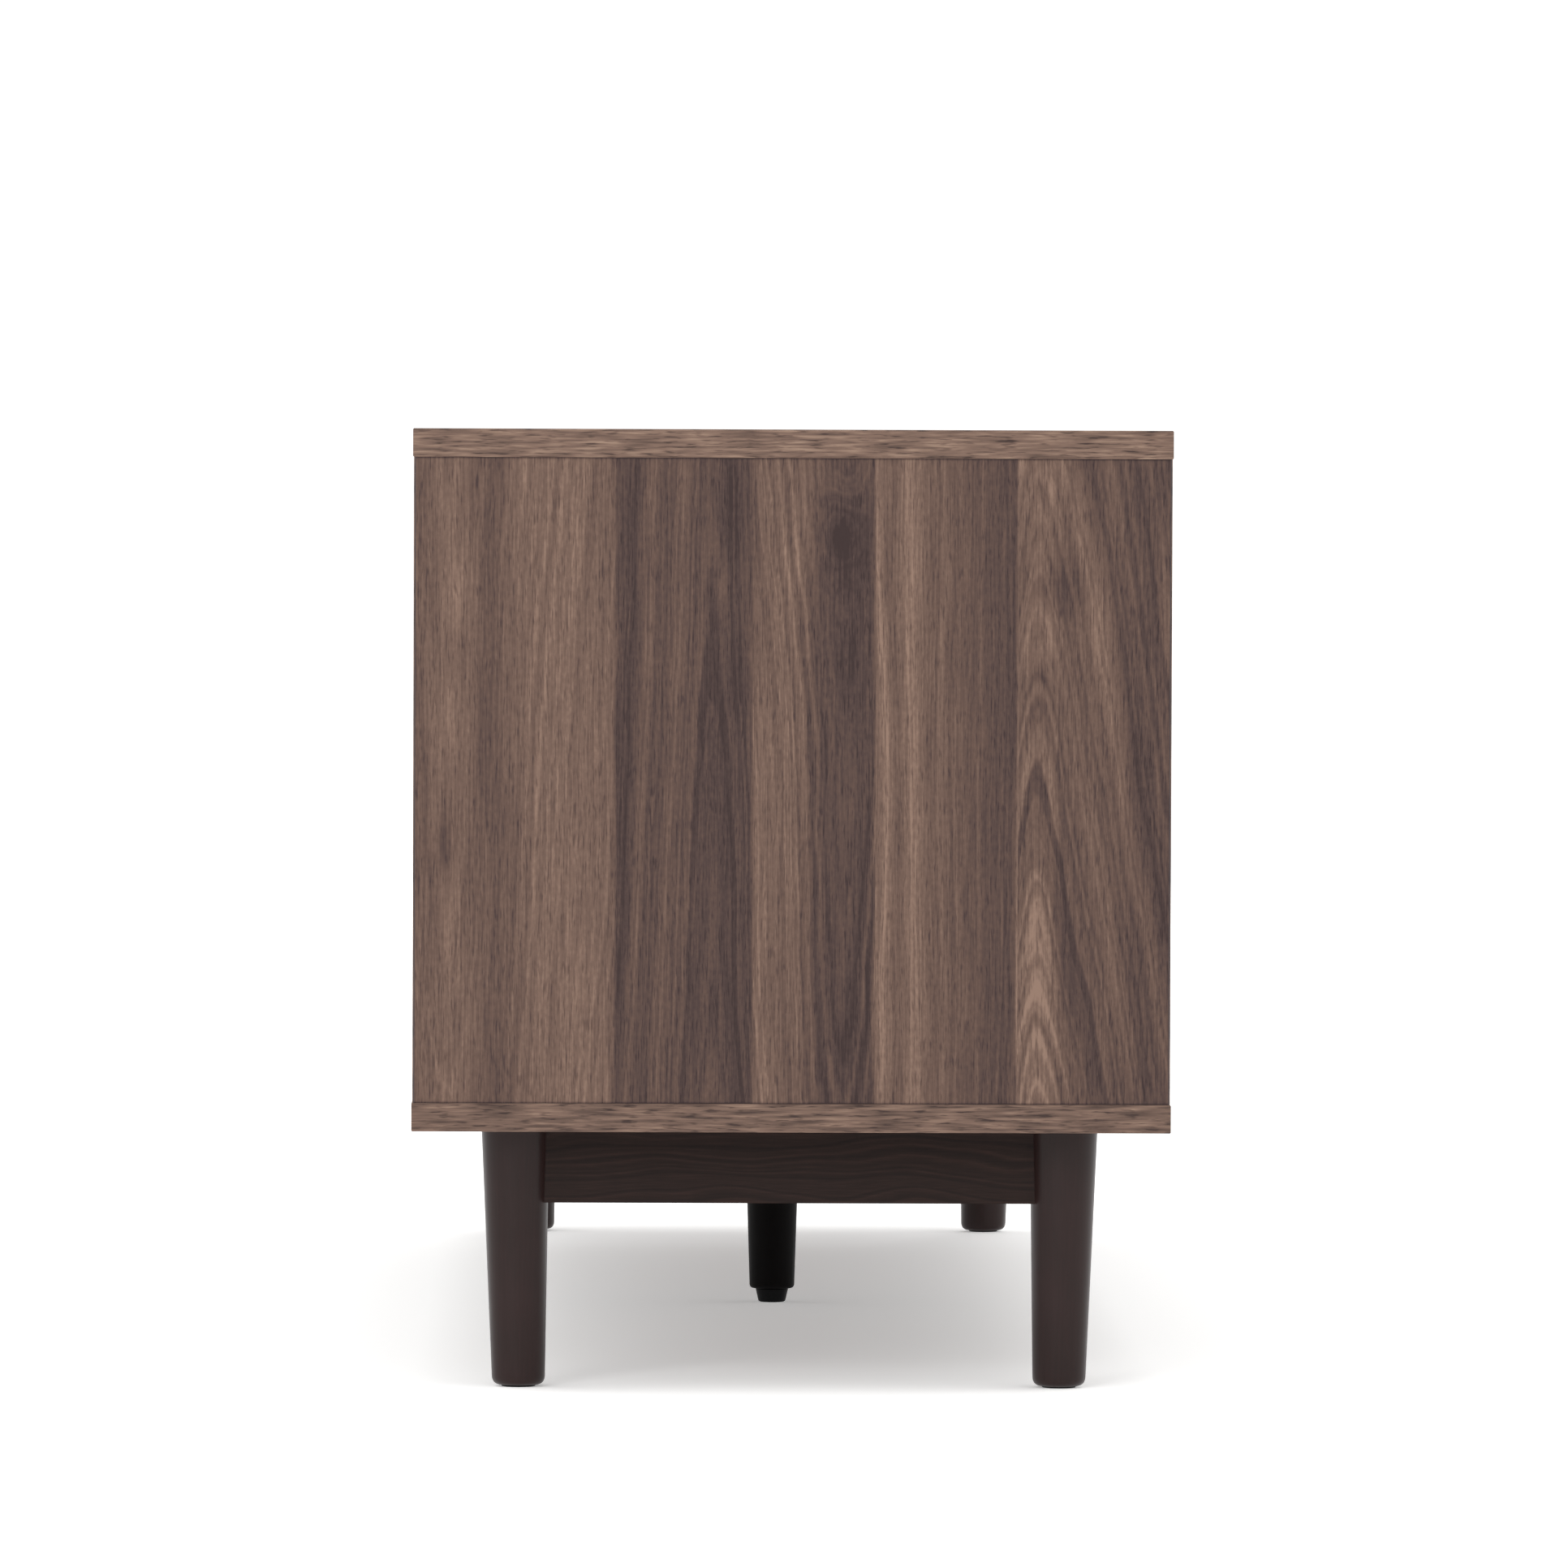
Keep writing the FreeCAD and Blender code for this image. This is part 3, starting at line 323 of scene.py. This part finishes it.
# Stained hardwood under satin lacquer, turned on a lathe: near black-brown, with a faint
# upright grain and a soft sheen along its side. Grain is 1.4 mm wide and 45 mm long.
legGrain = {"perMetre": (700.0, 700.0, 22.0), "cloudsPerMetre": 30.0, "stain": (0.30, 0.70),
            "smoother": 0.04, "coarser": 0.05, "bump": 0.04, "bumpDepth": 0.03 * mm}
legStain = {"name": "espresso lacquer on turned hardwood", "dark": "#221513",
            "light": "#2c1c1b", "roughness": 0.34, "specular": 0.23}
centreLegStain = {"name": "black lacquer on turned hardwood", "dark": "#070505",
                  "light": "#0e0b0b", "roughness": 0.5, "specular": 0.08}


def lacqueredWood(stain):
    s = legGrain
    material, tree = newMaterial(stain["name"])
    coordinate = put(tree, "TexCoord")
    stretched = put(tree, "Mapping", {0: coordinate.outputs["Object"],
                                      "Scale": s["perMetre"]})
    grain = put(tree, "TexNoise", {"Vector": stretched, "Scale": 1.0, "Detail": 3.0})
    cloud = put(tree, "TexNoise", {"Vector": coordinate.outputs["Object"],
                                   "Scale": s["cloudsPerMetre"], "Detail": 1.0})
    half = put(tree, "Math", {0: cloud, 1: 0.5}, operation="MULTIPLY")
    both = put(tree, "Math", {0: grain, 1: 0.5, 2: half}, operation="MULTIPLY_ADD")
    colour = put(tree, "ValToRGB", {0: both}, stops=[
        (s["stain"][0], linear(stain["dark"])), (s["stain"][1], linear(stain["light"]))])
    rough = put(tree, "MapRange", {0: grain, 1: usualNoise[0], 2: usualNoise[1],
                                   3: stain["roughness"] - s["smoother"],
                                   4: stain["roughness"] + s["coarser"]})
    bump = put(tree, "Bump", {"Strength": s["bump"], "Distance": s["bumpDepth"],
                              "Height": grain})
    shader = put(tree, "BsdfPrincipled", {
        "Base Color": colour, "Roughness": rough, "IOR": 1.5,
        "Specular IOR Level": stain["specular"], "Normal": bump})
    put(tree, "OutputMaterial", {0: shader})
    return material


# Wood-print laminate of the aprons, dark with painted shade, and matt, with fine grain along
# the rail that swirls here and there. Ring number = height over the ring width, plus the swirl.
shadedApronPrint = {
    # sizes of the swirls, the rings and the fibres in mm, and how many rings a swirl moves
    "swirlAlong": 90.0, "swirlTall": 34.0, "swirl": 11.0, "ringWidth": 2.6,
    "fibreAlong": 16.0, "fibreTall": 0.9, "fibreShare": 0.35,
    # painted shade: these colours darken the print to how it looks in the shadow under the
    # cabinet
    "colours": [(0.30, "#1a1110"), (0.52, "#251916"), (0.74, "#32221e")],
    "roughness": 0.55, "specular": 0.15,
}


def shadeDarkenedLaminate(name, along):
    s = shadedApronPrint
    material, tree = newMaterial(name)
    coordinate = put(tree, "TexCoord")
    inMm = put(tree, "VectorMath", {0: coordinate.outputs["Object"], "Scale": 1000.0},
               operation="SCALE")
    parts = put(tree, "SeparateXYZ", {0: inMm})

    def onRail(alongSize, tallSize):
        return put(tree, "CombineXYZ", {
            0: put(tree, "Math", {0: parts.outputs[along], 1: alongSize}, operation="DIVIDE"),
            1: put(tree, "Math", {0: parts.outputs["Z"], 1: tallSize}, operation="DIVIDE")})

    swirl = put(tree, "TexNoise", {"Vector": onRail(s["swirlAlong"], s["swirlTall"]),
                                   "Scale": 1.0, "Detail": 1.0})
    straight = put(tree, "Math", {0: parts.outputs["Z"], 1: s["ringWidth"]},
                   operation="DIVIDE")
    rings = put(tree, "Math", {0: swirl, 1: s["swirl"], 2: straight},
                operation="MULTIPLY_ADD")
    bands = put(tree, "TexNoise", {"W": rings, "Scale": 1.0, "Detail": 2.0},
                noise_dimensions="1D")
    fibre = put(tree, "TexNoise", {"Vector": onRail(s["fibreAlong"], s["fibreTall"]),
                                   "Scale": 1.0, "Detail": 2.0})
    fibres = put(tree, "Math", {0: fibre, 1: s["fibreShare"]}, operation="MULTIPLY")
    both = put(tree, "Math", {0: bands, 1: 1 - s["fibreShare"], 2: fibres},
               operation="MULTIPLY_ADD")
    colour = put(tree, "ValToRGB", {0: both}, stops=[
        (position, linear(shade)) for position, shade in s["colours"]])
    shader = put(tree, "BsdfPrincipled", {
        "Base Color": colour, "Roughness": s["roughness"], "IOR": 1.5,
        "Specular IOR Level": s["specular"]})
    put(tree, "OutputMaterial", {0: shader})
    return material


# The small parts' finishes: a base colour that wanders a little, a roughness, the size of
# the grain and the depth of its bump (mm).
plainLooks = {
    # zinc-plated and passivated: dull grey metal with a broad shine
    "zinc": {"name": "zinc-plated steel", "dark": "#9b9c99", "light": "#bdbcb6",
             "roughness": 0.38, "metallic": 1.0, "grain": 1.2, "bump": 0.004},
    # turned and left raw: pale, dry and matt
    "beech": {"name": "raw beech", "dark": "#b9976c", "light": "#cfae83",
              "roughness": 0.6, "grain": 0.8, "bump": 0.03},
    # pressed fibre with a rolled-on coat of brown paint: flat and matt
    "hardboard": {"name": "painted hardboard", "dark": "#3b2f29", "light": "#4a3b33",
                  "roughness": 0.62, "grain": 0.9, "bump": 0.03},
    # moulded with a fine texture: deep black with hardly any shine
    "blackPlastic": {"name": "black moulded ABS", "dark": "#040405", "light": "#09090b",
                     "roughness": 0.45, "grain": 0.5, "bump": 0.01, "specular": 0.15},
    # extruded: dark brown, smooth, with a soft shine along its length
    "brownPlastic": {"name": "brown extruded PVC", "dark": "#33261f", "light": "#3d2e26",
                     "roughness": 0.42, "grain": 0.8, "bump": 0.005},
    # moulded and slippery: black with a soft shine
    "nylon": {"name": "black nylon", "dark": "#141416", "light": "#1d1d20",
              "roughness": 0.4, "grain": 0.6, "bump": 0.006},
    # pressed, then lacquered: warm dark metal with a clear shine
    "bronze": {"name": "bronze-lacquered pressed steel", "dark": "#54463a",
               "light": "#6a5a4a", "roughness": 0.34, "metallic": 1.0, "grain": 0.7,
               "bump": 0.004},
}
# how every plain finish wanders: a cloud 25 mm wide, its share, and the roughness either way
wander = {"cloud": 25 * mm, "share": 0.4, "roughness": 0.05, "bump": 0.3,
          "from": 0.35, "to": 0.65}


def plainFinish(look):
    material, tree = newMaterial(look["name"])
    coordinate = put(tree, "TexCoord")
    grain = put(tree, "TexNoise", {"Vector": coordinate.outputs["Object"],
                                   "Scale": 1000.0 / look["grain"], "Detail": 2.0})
    cloud = put(tree, "TexNoise", {"Vector": coordinate.outputs["Object"],
                                   "Scale": 1 / wander["cloud"]})
    clouds = put(tree, "Math", {0: cloud, 1: wander["share"]}, operation="MULTIPLY")
    both = put(tree, "Math", {0: grain, 1: 1 - wander["share"], 2: clouds},
               operation="MULTIPLY_ADD")
    colour = put(tree, "ValToRGB", {0: both}, stops=[
        (wander["from"], linear(look["dark"])), (wander["to"], linear(look["light"]))])
    rough = put(tree, "MapRange", {0: both, 1: wander["from"], 2: wander["to"],
                                   3: look["roughness"] - wander["roughness"],
                                   4: look["roughness"] + wander["roughness"]})
    bump = put(tree, "Bump", {"Strength": wander["bump"], "Distance": look["bump"] * mm,
                              "Height": grain})
    shader = put(tree, "BsdfPrincipled", {
        "Base Color": colour, "Roughness": rough, "Metallic": look.get("metallic", 0.0),
        "Specular IOR Level": look.get("specular", 0.5), "Normal": bump})
    put(tree, "OutputMaterial", {0: shader})
    return material


# The way across the grain, the way along it, how far the print is shifted (mm), the seed,
# and the heights of the boards above and below (mm), where painted shade lines lie along the
# seams.
uprightShadedJoints = (493.4, 152.6)
sideWalnut = walnutLaminate("walnut laminate, upright, side", "Y", "Z", (200.0, 0.0),
                            joints=uprightShadedJoints)
dividerWalnut = walnutLaminate("walnut laminate, upright, divider", "Y", "Z", (330.0, 120.0),
                               7.0, uprightShadedJoints)
topWalnut = walnutLaminate("walnut laminate, lengthways, top", "Y", "X", (200.0, 1900.0), 3.0)
bottomWalnut = walnutLaminate("walnut laminate, lengthways, bottom", "Y", "X",
                              (90.0, 5200.0), 5.0)
shelfWalnut = walnutLaminate("walnut laminate, lengthways, shelf", "Y", "X",
                             (290.0, 3100.0), 9.0)
leftDoorWalnut = walnutLaminate("walnut laminate, upright, left door", "X", "Z",
                                (723.0, 90.0), 11.0)
rightDoorWalnut = walnutLaminate("walnut laminate, upright, right door", "X", "Z",
                                 (24.0, 340.0), 13.0)
# The way across the band, the ways along it, and how much lighter it is.
topBand = edgeBand("walnut edge band, round the top", "Z", "X", "Y", 0.02)
bottomBand = edgeBand("walnut edge band, round the bottom", "Z", "X", "Y", -0.08)
longBand = edgeBand("walnut edge band, along a shelf", "Z", "X")
uprightBand = edgeBand("walnut edge band, upright", "X", "Z")
doorBand = edgeBand("walnut edge band, round a door", "Y", "Z", "X")
legLacquer = lacqueredWood(legStain)
centreLacquer = lacqueredWood(centreLegStain)
# the aprons: laminate with painted shade in its colours
shadedApronLong = shadeDarkenedLaminate("apron laminate in painted shade, lengthways rail", "X")
shadedApronShort = shadeDarkenedLaminate("apron laminate in painted shade, crossways rail", "Y")
plain = {key: plainFinish(look) for key, look in plainLooks.items()}
print("materials made:", len(bpy.data.materials))

finishes = {
    "top_panel": topWalnut, "bottom_panel": bottomWalnut,
    "left_side_panel": sideWalnut, "right_side_panel": sideWalnut,
    "left_divider": dividerWalnut, "right_divider": dividerWalnut,
    "centre_shelf": shelfWalnut, "left_shelf": shelfWalnut, "right_shelf": shelfWalnut,
    "left_door": leftDoorWalnut, "right_door": rightDoorWalnut,
    "side_edge_banding": uprightBand, "divider_edge_banding": uprightBand,
    "shelf_edge_banding": longBand,
    "left_door_edge_banding": doorBand, "right_door_edge_banding": doorBand,
    "top_edge_banding": topBand, "bottom_edge_banding": bottomBand,
    # aprons and rails: laminate with painted shade in its colours
    "front_apron": shadedApronLong, "rear_apron": shadedApronLong,
    "left_apron": shadedApronShort, "right_apron": shadedApronShort,
    "centre_rail_front": shadedApronShort, "centre_rail_rear": shadedApronShort,
    "back_panel_left": plain["hardboard"], "back_panel_centre": plain["hardboard"],
    "back_panel_right": plain["hardboard"], "back_joiner_strips": plain["blackPlastic"],
    "lower_track": plain["brownPlastic"], "upper_track": plain["brownPlastic"],
    "dowels": plain["beech"], "centre_leg": centreLacquer,
}
cornerLegs = {"front_left_leg": (1, 1), "front_right_leg": (-1, 1),     # which way the foot
              "rear_left_leg": (1, -1), "rear_right_leg": (-1, -1)}     # leans, along x and y
for name in cornerLegs:
    finishes[name] = legLacquer
for name in ("cam_bolts", "cam_locks", "leg_studs", "track_screws", "bracket_screws",
             "levelling_stem", "levelling_bush", "leg_threaded_inserts", "shelf_pins",
             "apron_brackets"):
    finishes[name] = plain["zinc"]
for name in ("levelling_pad", "leg_glides", "cable_grommets"):
    finishes[name] = plain["blackPlastic"]
for side in ("left", "right"):
    finishes[side + "_door_gliders"] = plain["nylon"]
    finishes[side + "_door_top_guides"] = plain["nylon"]
    finishes[side + "_door_finger_cup"] = plain["bronze"]
for name, finish in finishes.items():
    piece = nodes[name]
    if not piece.material_slots:
        piece.data.materials.append(finish)
    for slot in piece.material_slots:
        slot.material = finish


# A path in (radius, height). Every inner corner becomes a parabola that starts and ends ease
# away from it: point = (1-t)^2 start + 2t(1-t) corner + t^2 end.
def easedProfile(points, ease, steps=7):
    points = np.array(points, float)
    t = np.linspace(0, 1, steps)[:, None]
    path = [points[:1]]
    for before, corner, after, size in zip(points[:-2], points[1:-1], points[2:], ease):
        start = corner + size * (before - corner) / np.linalg.norm(before - corner)
        end = corner + size * (after - corner) / np.linalg.norm(after - corner)
        path.append((1 - t) ** 2 * start + 2 * t * (1 - t) * corner + t ** 2 * end)
    path.append(points[-1:])
    return np.vstack(path)


# points of a circle of radius 1 round the axis: cos(angle) side + sin(angle) other side
def unitCircle(axis, segments):
    side = np.cross(axis, (0.0, 0.0, 1.0) if abs(axis[2]) < 0.9 else (0.0, 1.0, 0.0))
    side /= np.linalg.norm(side)
    angle = np.linspace(0, 2 * np.pi, segments, endpoint=False)
    return np.outer(np.cos(angle), side) + np.outer(np.sin(angle), np.cross(axis, side))


# four-sided faces between neighbouring rings; each ring closes on itself, and with looped
# the last ring also joins the first
def ringFaces(rings, segments, looped=False):
    k, j = np.meshgrid(np.arange(rings if looped else rings - 1), np.arange(segments),
                       indexing="ij")
    beside, above = (j + 1) % segments, (k + 1) % rings
    return np.stack([k * segments + j, k * segments + beside, above * segments + beside,
                     above * segments + j], -1).reshape(-1, 4).tolist()


# Surface of revolution: point = foot + height along the axis + radius round it; the axis may
# lean, so that the centre drifts by lean from the first height to the last. The first and
# last radius are 0, and each such pole is one point.
def turnedSurface(profile, origin, axis=(0, 0, 1), segments=96, lean=(0, 0, 0)):
    axis = np.array(axis, float)
    radius, height = profile[:, 0], profile[:, 1]
    share = (height - height[0]) / (height[-1] - height[0] or 1.0)
    centre = np.array(origin) + np.outer(height, axis) + np.outer(share, lean)
    grid = (centre[1:-1, None, :]
            + radius[1:-1, None, None] * unitCircle(axis, segments)[None])
    rings = len(grid)
    points = np.vstack([grid.reshape(-1, 3), centre[:1], centre[-1:]])
    here = np.arange(segments)
    beside = (here + 1) % segments
    lowPole, highPole = rings * segments, rings * segments + 1
    lastRing = (rings - 1) * segments
    low = np.stack([np.full(segments, lowPole), beside, here], -1)
    high = np.stack([np.full(segments, highPole), lastRing + here, lastRing + beside], -1)
    return points, ringFaces(rings, segments) + low.tolist() + high.tolist()


# The same for a closed outline away from the axis: a ring without poles.
def turnedRing(outline, ease, origin, axis, segments=96):
    path = easedProfile([outline[-1], *outline, outline[0]], ease)[1:-1]
    axis = np.array(axis, float)
    grid = (np.array(origin) + np.outer(path[:, 1], axis)[:, None, :]
            + path[:, 0, None, None] * unitCircle(axis, segments)[None])
    return grid.reshape(-1, 3), ringFaces(len(path), segments, looped=True)


# joins several (points, faces) into one mesh object, smooth but for corners past sharpAngle
sharpAngle = 32


def makePiece(name, surfaces, material, body, replaced):
    points, faces, start = [], [], 0
    for surfacePoints, surfaceFaces in surfaces:
        points.append(surfacePoints)
        faces += [[corner + start for corner in face] for face in surfaceFaces]
        start += len(surfacePoints)
    mesh = bpy.data.meshes.new(name)
    mesh.from_pydata(np.vstack(points).tolist(), [], faces)
    mesh.polygons.foreach_set("use_smooth", np.ones(len(faces), bool))
    mesh.set_sharp_from_angle(angle=math.radians(sharpAngle))
    mesh.materials.append(material)
    mesh.update()
    piece = bpy.data.objects.new(name, mesh)
    bpy.context.scene.collection.objects.link(piece)
    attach(piece, body)
    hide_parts(*replaced)
    return piece


def middle(name):
    low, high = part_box(name)
    return (low + high) / 2, low, high


# Turned legs: a straight taper from the cabinet to a rounded foot, the foot set 2 mm inwards.
# Radius = foot radius + (top radius - foot radius) times the share of the height.
legShape = {"topRadius": 18 * mm, "footRadius": 14 * mm, "round": 5.0 * mm, "lean": 2 * mm}
centreLegShape = {"topRadius": 17 * mm, "footRadius": 13 * mm, "round": 2.6 * mm, "lean": 0}
legDetail = {"topEase": 0.3 * mm, "rings": 14, "easeSteps": 10, "segments": 112}


def legSurface(name, shape, towards=(0, 0)):
    low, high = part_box(name)
    top, foot = shape["topRadius"], shape["footRadius"]
    lean = [way * shape["lean"] for way in towards]
    # the top stands at the side of its box that the foot leans away from, or in the middle
    topCentre = [{1: low[i] + top, 0: (low[i] + high[i]) / 2, -1: high[i] - top}[towards[i]]
                 for i in (0, 1)]
    tall = high.z - low.z
    share = np.linspace(0, 1, legDetail["rings"])[1:-1]
    taper = np.stack([foot + (top - foot) * share, tall * share], -1)
    steps = legDetail["easeSteps"]
    ends = easedProfile([(0, 0), (foot, 0), (top, tall), (0, tall)],
                        (shape["round"], legDetail["topEase"]), steps)
    profile = np.vstack([ends[:steps + 1], taper, ends[steps + 1:]])
    return turnedSurface(profile, (topCentre[0] + lean[0], topCentre[1] + lean[1], low.z),
                         segments=legDetail["segments"], lean=(-lean[0], -lean[1], 0))


for name, towards in cornerLegs.items():
    makePiece("turned_" + name, [legSurface(name, legShape, towards)], legLacquer, "cabinet",
              [name])
makePiece("turned_centre_leg", [legSurface("centre_leg", centreLegShape)], centreLacquer,
          "cabinet", ["centre_leg"])
print("legs made")

# Moulded foot: a flared disc with a soft lower edge.
padShape = {"lowRadius": 7.75 * mm, "topRadius": 9.5 * mm, "ease": (1.4 * mm, 0.5 * mm),
            "easeSteps": 8, "segments": 72}
centre, low, high = middle("levelling_pad")
tall = high.z - low.z
profile = easedProfile([(0, 0), (padShape["lowRadius"], 0), (padShape["topRadius"], tall),
                        (0, tall)], padShape["ease"], padShape["easeSteps"])
pad = turnedSurface(profile, (centre.x, centre.y, low.z), segments=padShape["segments"])
makePiece("moulded_levelling_pad", [pad], plain["blackPlastic"], "levelling_foot",
          ["levelling_pad"])

# Nail-on glides: thin discs with a rounded rim.
glideShape = {"radius": 9 * mm, "thick": 0.8 * mm, "ease": (0.6 * mm, 0.1 * mm),
              "easeSteps": 6, "segments": 64}
profile = easedProfile([(0, 0), (glideShape["radius"], 0),
                        (glideShape["radius"], glideShape["thick"]),
                        (0, glideShape["thick"])], glideShape["ease"],
                       glideShape["easeSteps"])
glides = []
for name, towards in cornerLegs.items():
    centre = middle(name)[0]
    under = (centre.x + towards[0] * legShape["lean"],
             centre.y + towards[1] * legShape["lean"], 0)
    glides.append(turnedSurface(profile, under, segments=glideShape["segments"]))
makePiece("moulded_leg_glides", glides, plain["blackPlastic"], "cabinet",
          ["leg_glides"])

# Pressed finger cups: a flat flange rolled at its rim, a rounded lip and a dished floor.
# The eases go from the back of the cup round the flange to the floor.
cupShape = {"flange": 20 * mm, "wall": 17.4 * mm, "inner": 16.4 * mm, "thick": 1 * mm,
            "ease": (1.2 * mm, 0.2 * mm, 0.3 * mm, 0.5 * mm, 0.8 * mm, 2.5 * mm)}
for side in ("left", "right"):
    centre, low, high = middle(side + "_door_finger_cup")
    deep = high.y - low.y
    under = deep - cupShape["thick"]
    profile = easedProfile([
        (0, 0), (cupShape["wall"], 0), (cupShape["wall"], under),
        (cupShape["flange"], under), (cupShape["flange"], deep), (cupShape["inner"], deep),
        (cupShape["inner"], cupShape["thick"]), (0, cupShape["thick"])], cupShape["ease"])
    cup = turnedSurface(profile, (centre.x, high.y, centre.z), axis=(0, -1, 0))
    makePiece("pressed_" + side + "_finger_cup", [cup], plain["bronze"], side + "_door",
              [side + "_door_finger_cup"])

# Snap-in cable grommets: a tube through the back, a flange outside and a snap rim inside.
grommetShape = {"clear": 27 * mm, "tube": 29.9 * mm, "snap": 30.8 * mm, "flange": 34 * mm,
                "snapLong": 2.3 * mm, "flangeThick": 2.0 * mm, "rim": 0.6 * mm,
                "step": 0.3 * mm, "inside": 0.2 * mm}
centre, low, high = middle("cable_grommets")
g = grommetShape
deep = high.y - low.y
under = deep - g["flangeThick"]
outline = [(g["clear"], 0), (g["snap"], 0), (g["snap"], g["snapLong"]),
           (g["tube"], g["snapLong"]), (g["tube"], under), (g["flange"], under),
           (g["flange"], deep), (g["clear"], deep)]
ease = (g["rim"], g["rim"], g["step"], g["inside"], g["step"], g["inside"], g["rim"],
        g["rim"])
lowPort, highPort = low.z + g["flange"], high.z - g["flange"]
ports = [(low.x + g["flange"], lowPort), (centre.x, lowPort), (centre.x, highPort),
         (high.x - g["flange"], lowPort)]
grommets = [turnedRing(outline, ease, (x, low.y, z), (0, 1, 0)) for x, z in ports]
makePiece("moulded_cable_grommets", grommets, plain["blackPlastic"], "cabinet",
          ["cable_grommets"])
print("feet, finger cups and grommets made")

# Plain pale floor, part of the stage only: white acrylic with a little light behind it.
floorLook = {"radius": 40.0, "thick": 0.02, "ease": 0.005, "easeSteps": 3,
             "segments": 128, "colour": "#fafaf9", "roughness": 0.9, "specular": 0.1,
             "glow": 0.28}
floorMaterial, tree = newMaterial("pale studio floor")
shader = put(tree, "BsdfPrincipled", {"Base Color": linear(floorLook["colour"]),
                                      "Roughness": floorLook["roughness"],
                                      "Emission Color": (1, 1, 1, 1),
                                      "Emission Strength": floorLook["glow"],
                                      "Specular IOR Level": floorLook["specular"]})
put(tree, "OutputMaterial", {0: shader})
profile = easedProfile([(0, -floorLook["thick"]), (floorLook["radius"], -floorLook["thick"]),
                        (floorLook["radius"], 0.0), (0, 0.0)], (floorLook["ease"],) * 2,
                       floorLook["easeSteps"])
points, faces = turnedSurface(profile, (0, 0, 0), segments=floorLook["segments"])
mesh = bpy.data.meshes.new("studio_floor")
mesh.from_pydata(points.tolist(), [], faces)
mesh.materials.append(floorMaterial)
floor = bpy.data.objects.new("studio_floor", mesh)
bpy.context.scene.collection.objects.link(floor)

# Soft boxes: place, what it faces, width and height (m), power (W).
lamps = {
    "softbox_end": ((6.6, -2.4, 2.6), (0.74, 0.0, 0.30), 2.2, 2.4, 108),
    "softbox_end_fill": ((6.2, 3.2, 1.6), (0.74, 0.0, 0.30), 2.4, 2.4, 8),
    "softbox_front": ((-2.4, -6.6, 2.6), (0.0, 0.0, 0.30), 4.0, 2.4, 35),
    "softbox_rear": ((-1.2, 6.6, 2.6), (0.0, 0.0, 0.30), 4.0, 2.4, 35),
    "softbox_over": ((0.0, 0.0, 7.0), (0.0, 0.0, 0.0), 9.0, 9.0, 160),
    "softbox_far_end": ((-6.8, 1.4, 2.6), (-0.74, 0.0, 0.30), 3.0, 2.4, 80),
}
for name, (place, target, wide, tall, power) in lamps.items():
    data = bpy.data.lights.new(name, "AREA")
    data.shape = "RECTANGLE"
    data.size = wide
    data.size_y = tall
    data.energy = power
    lamp = bpy.data.objects.new(name, data)
    lamp.location = place
    lamp.visible_glossy = name.startswith("softbox_end")
    aim = Vector(target) - Vector(place)
    lamp.rotation_mode = "QUATERNION"
    lamp.rotation_quaternion = aim.to_track_quat("-Z", "Y")
    bpy.context.scene.collection.objects.link(lamp)

# White surroundings: full white behind the object; as a light, bright overhead and dim along
# the horizon, so that upright glossy edges stay dark.
surroundings = {"seen": 1.1, "overhead": 1.05, "horizon": 0.08, "from": 0.05, "to": 0.45}
world = bpy.data.worlds.new("white studio")
world.use_nodes = True
tree = world.node_tree
tree.nodes.clear()
direction = put(tree, "SeparateXYZ", {0: put(tree, "TexCoord").outputs["Object"]})
dome = put(tree, "MapRange", {0: direction.outputs["Z"], 1: surroundings["from"],
                              2: surroundings["to"], 3: surroundings["horizon"],
                              4: surroundings["overhead"]}, interpolation_type="SMOOTHSTEP")
path = put(tree, "LightPath")
strength = put(tree, "Mix", {0: path.outputs["Is Camera Ray"], 2: dome,
                             3: surroundings["seen"]})
backdrop = put(tree, "Background", {"Color": (1, 1, 1, 1), "Strength": strength})
put(tree, "OutputWorld", {0: backdrop})
bpy.context.scene.world = world
bpy.context.scene.view_settings.view_transform = "Standard"

# Long lens (metres and degrees), a little below the top board and slightly to the front
# side of the end panel.
view = {"distance": 6.822, "height": 0.500, "aside": -0.1008, "fieldOfView": 6.916,
        "yaw": 0.8093, "pitch": 1.498, "roll": 0.21, "farthest": 200.0}
lens = bpy.data.cameras.new("end view")
lens.sensor_fit = "HORIZONTAL"
lens.angle = math.radians(view["fieldOfView"])
lens.clip_end = view["farthest"]
camera = bpy.data.objects.new("end view", lens)
camera.location = (cadBounds[1][0] + view["distance"], view["aside"], view["height"])
yaw, pitch = math.radians(view["yaw"]), math.radians(view["pitch"])
forward = Vector((-math.cos(yaw) * math.cos(pitch), math.sin(yaw) * math.cos(pitch),
                  -math.sin(pitch)))
camera.rotation_mode = "QUATERNION"
camera.rotation_quaternion = forward.to_track_quat("-Z", "Y") @ Quaternion(
    (0, 0, 1), math.radians(view["roll"]))
bpy.context.scene.collection.objects.link(camera)
bpy.context.scene.camera = camera
print("stage, lights and camera set")
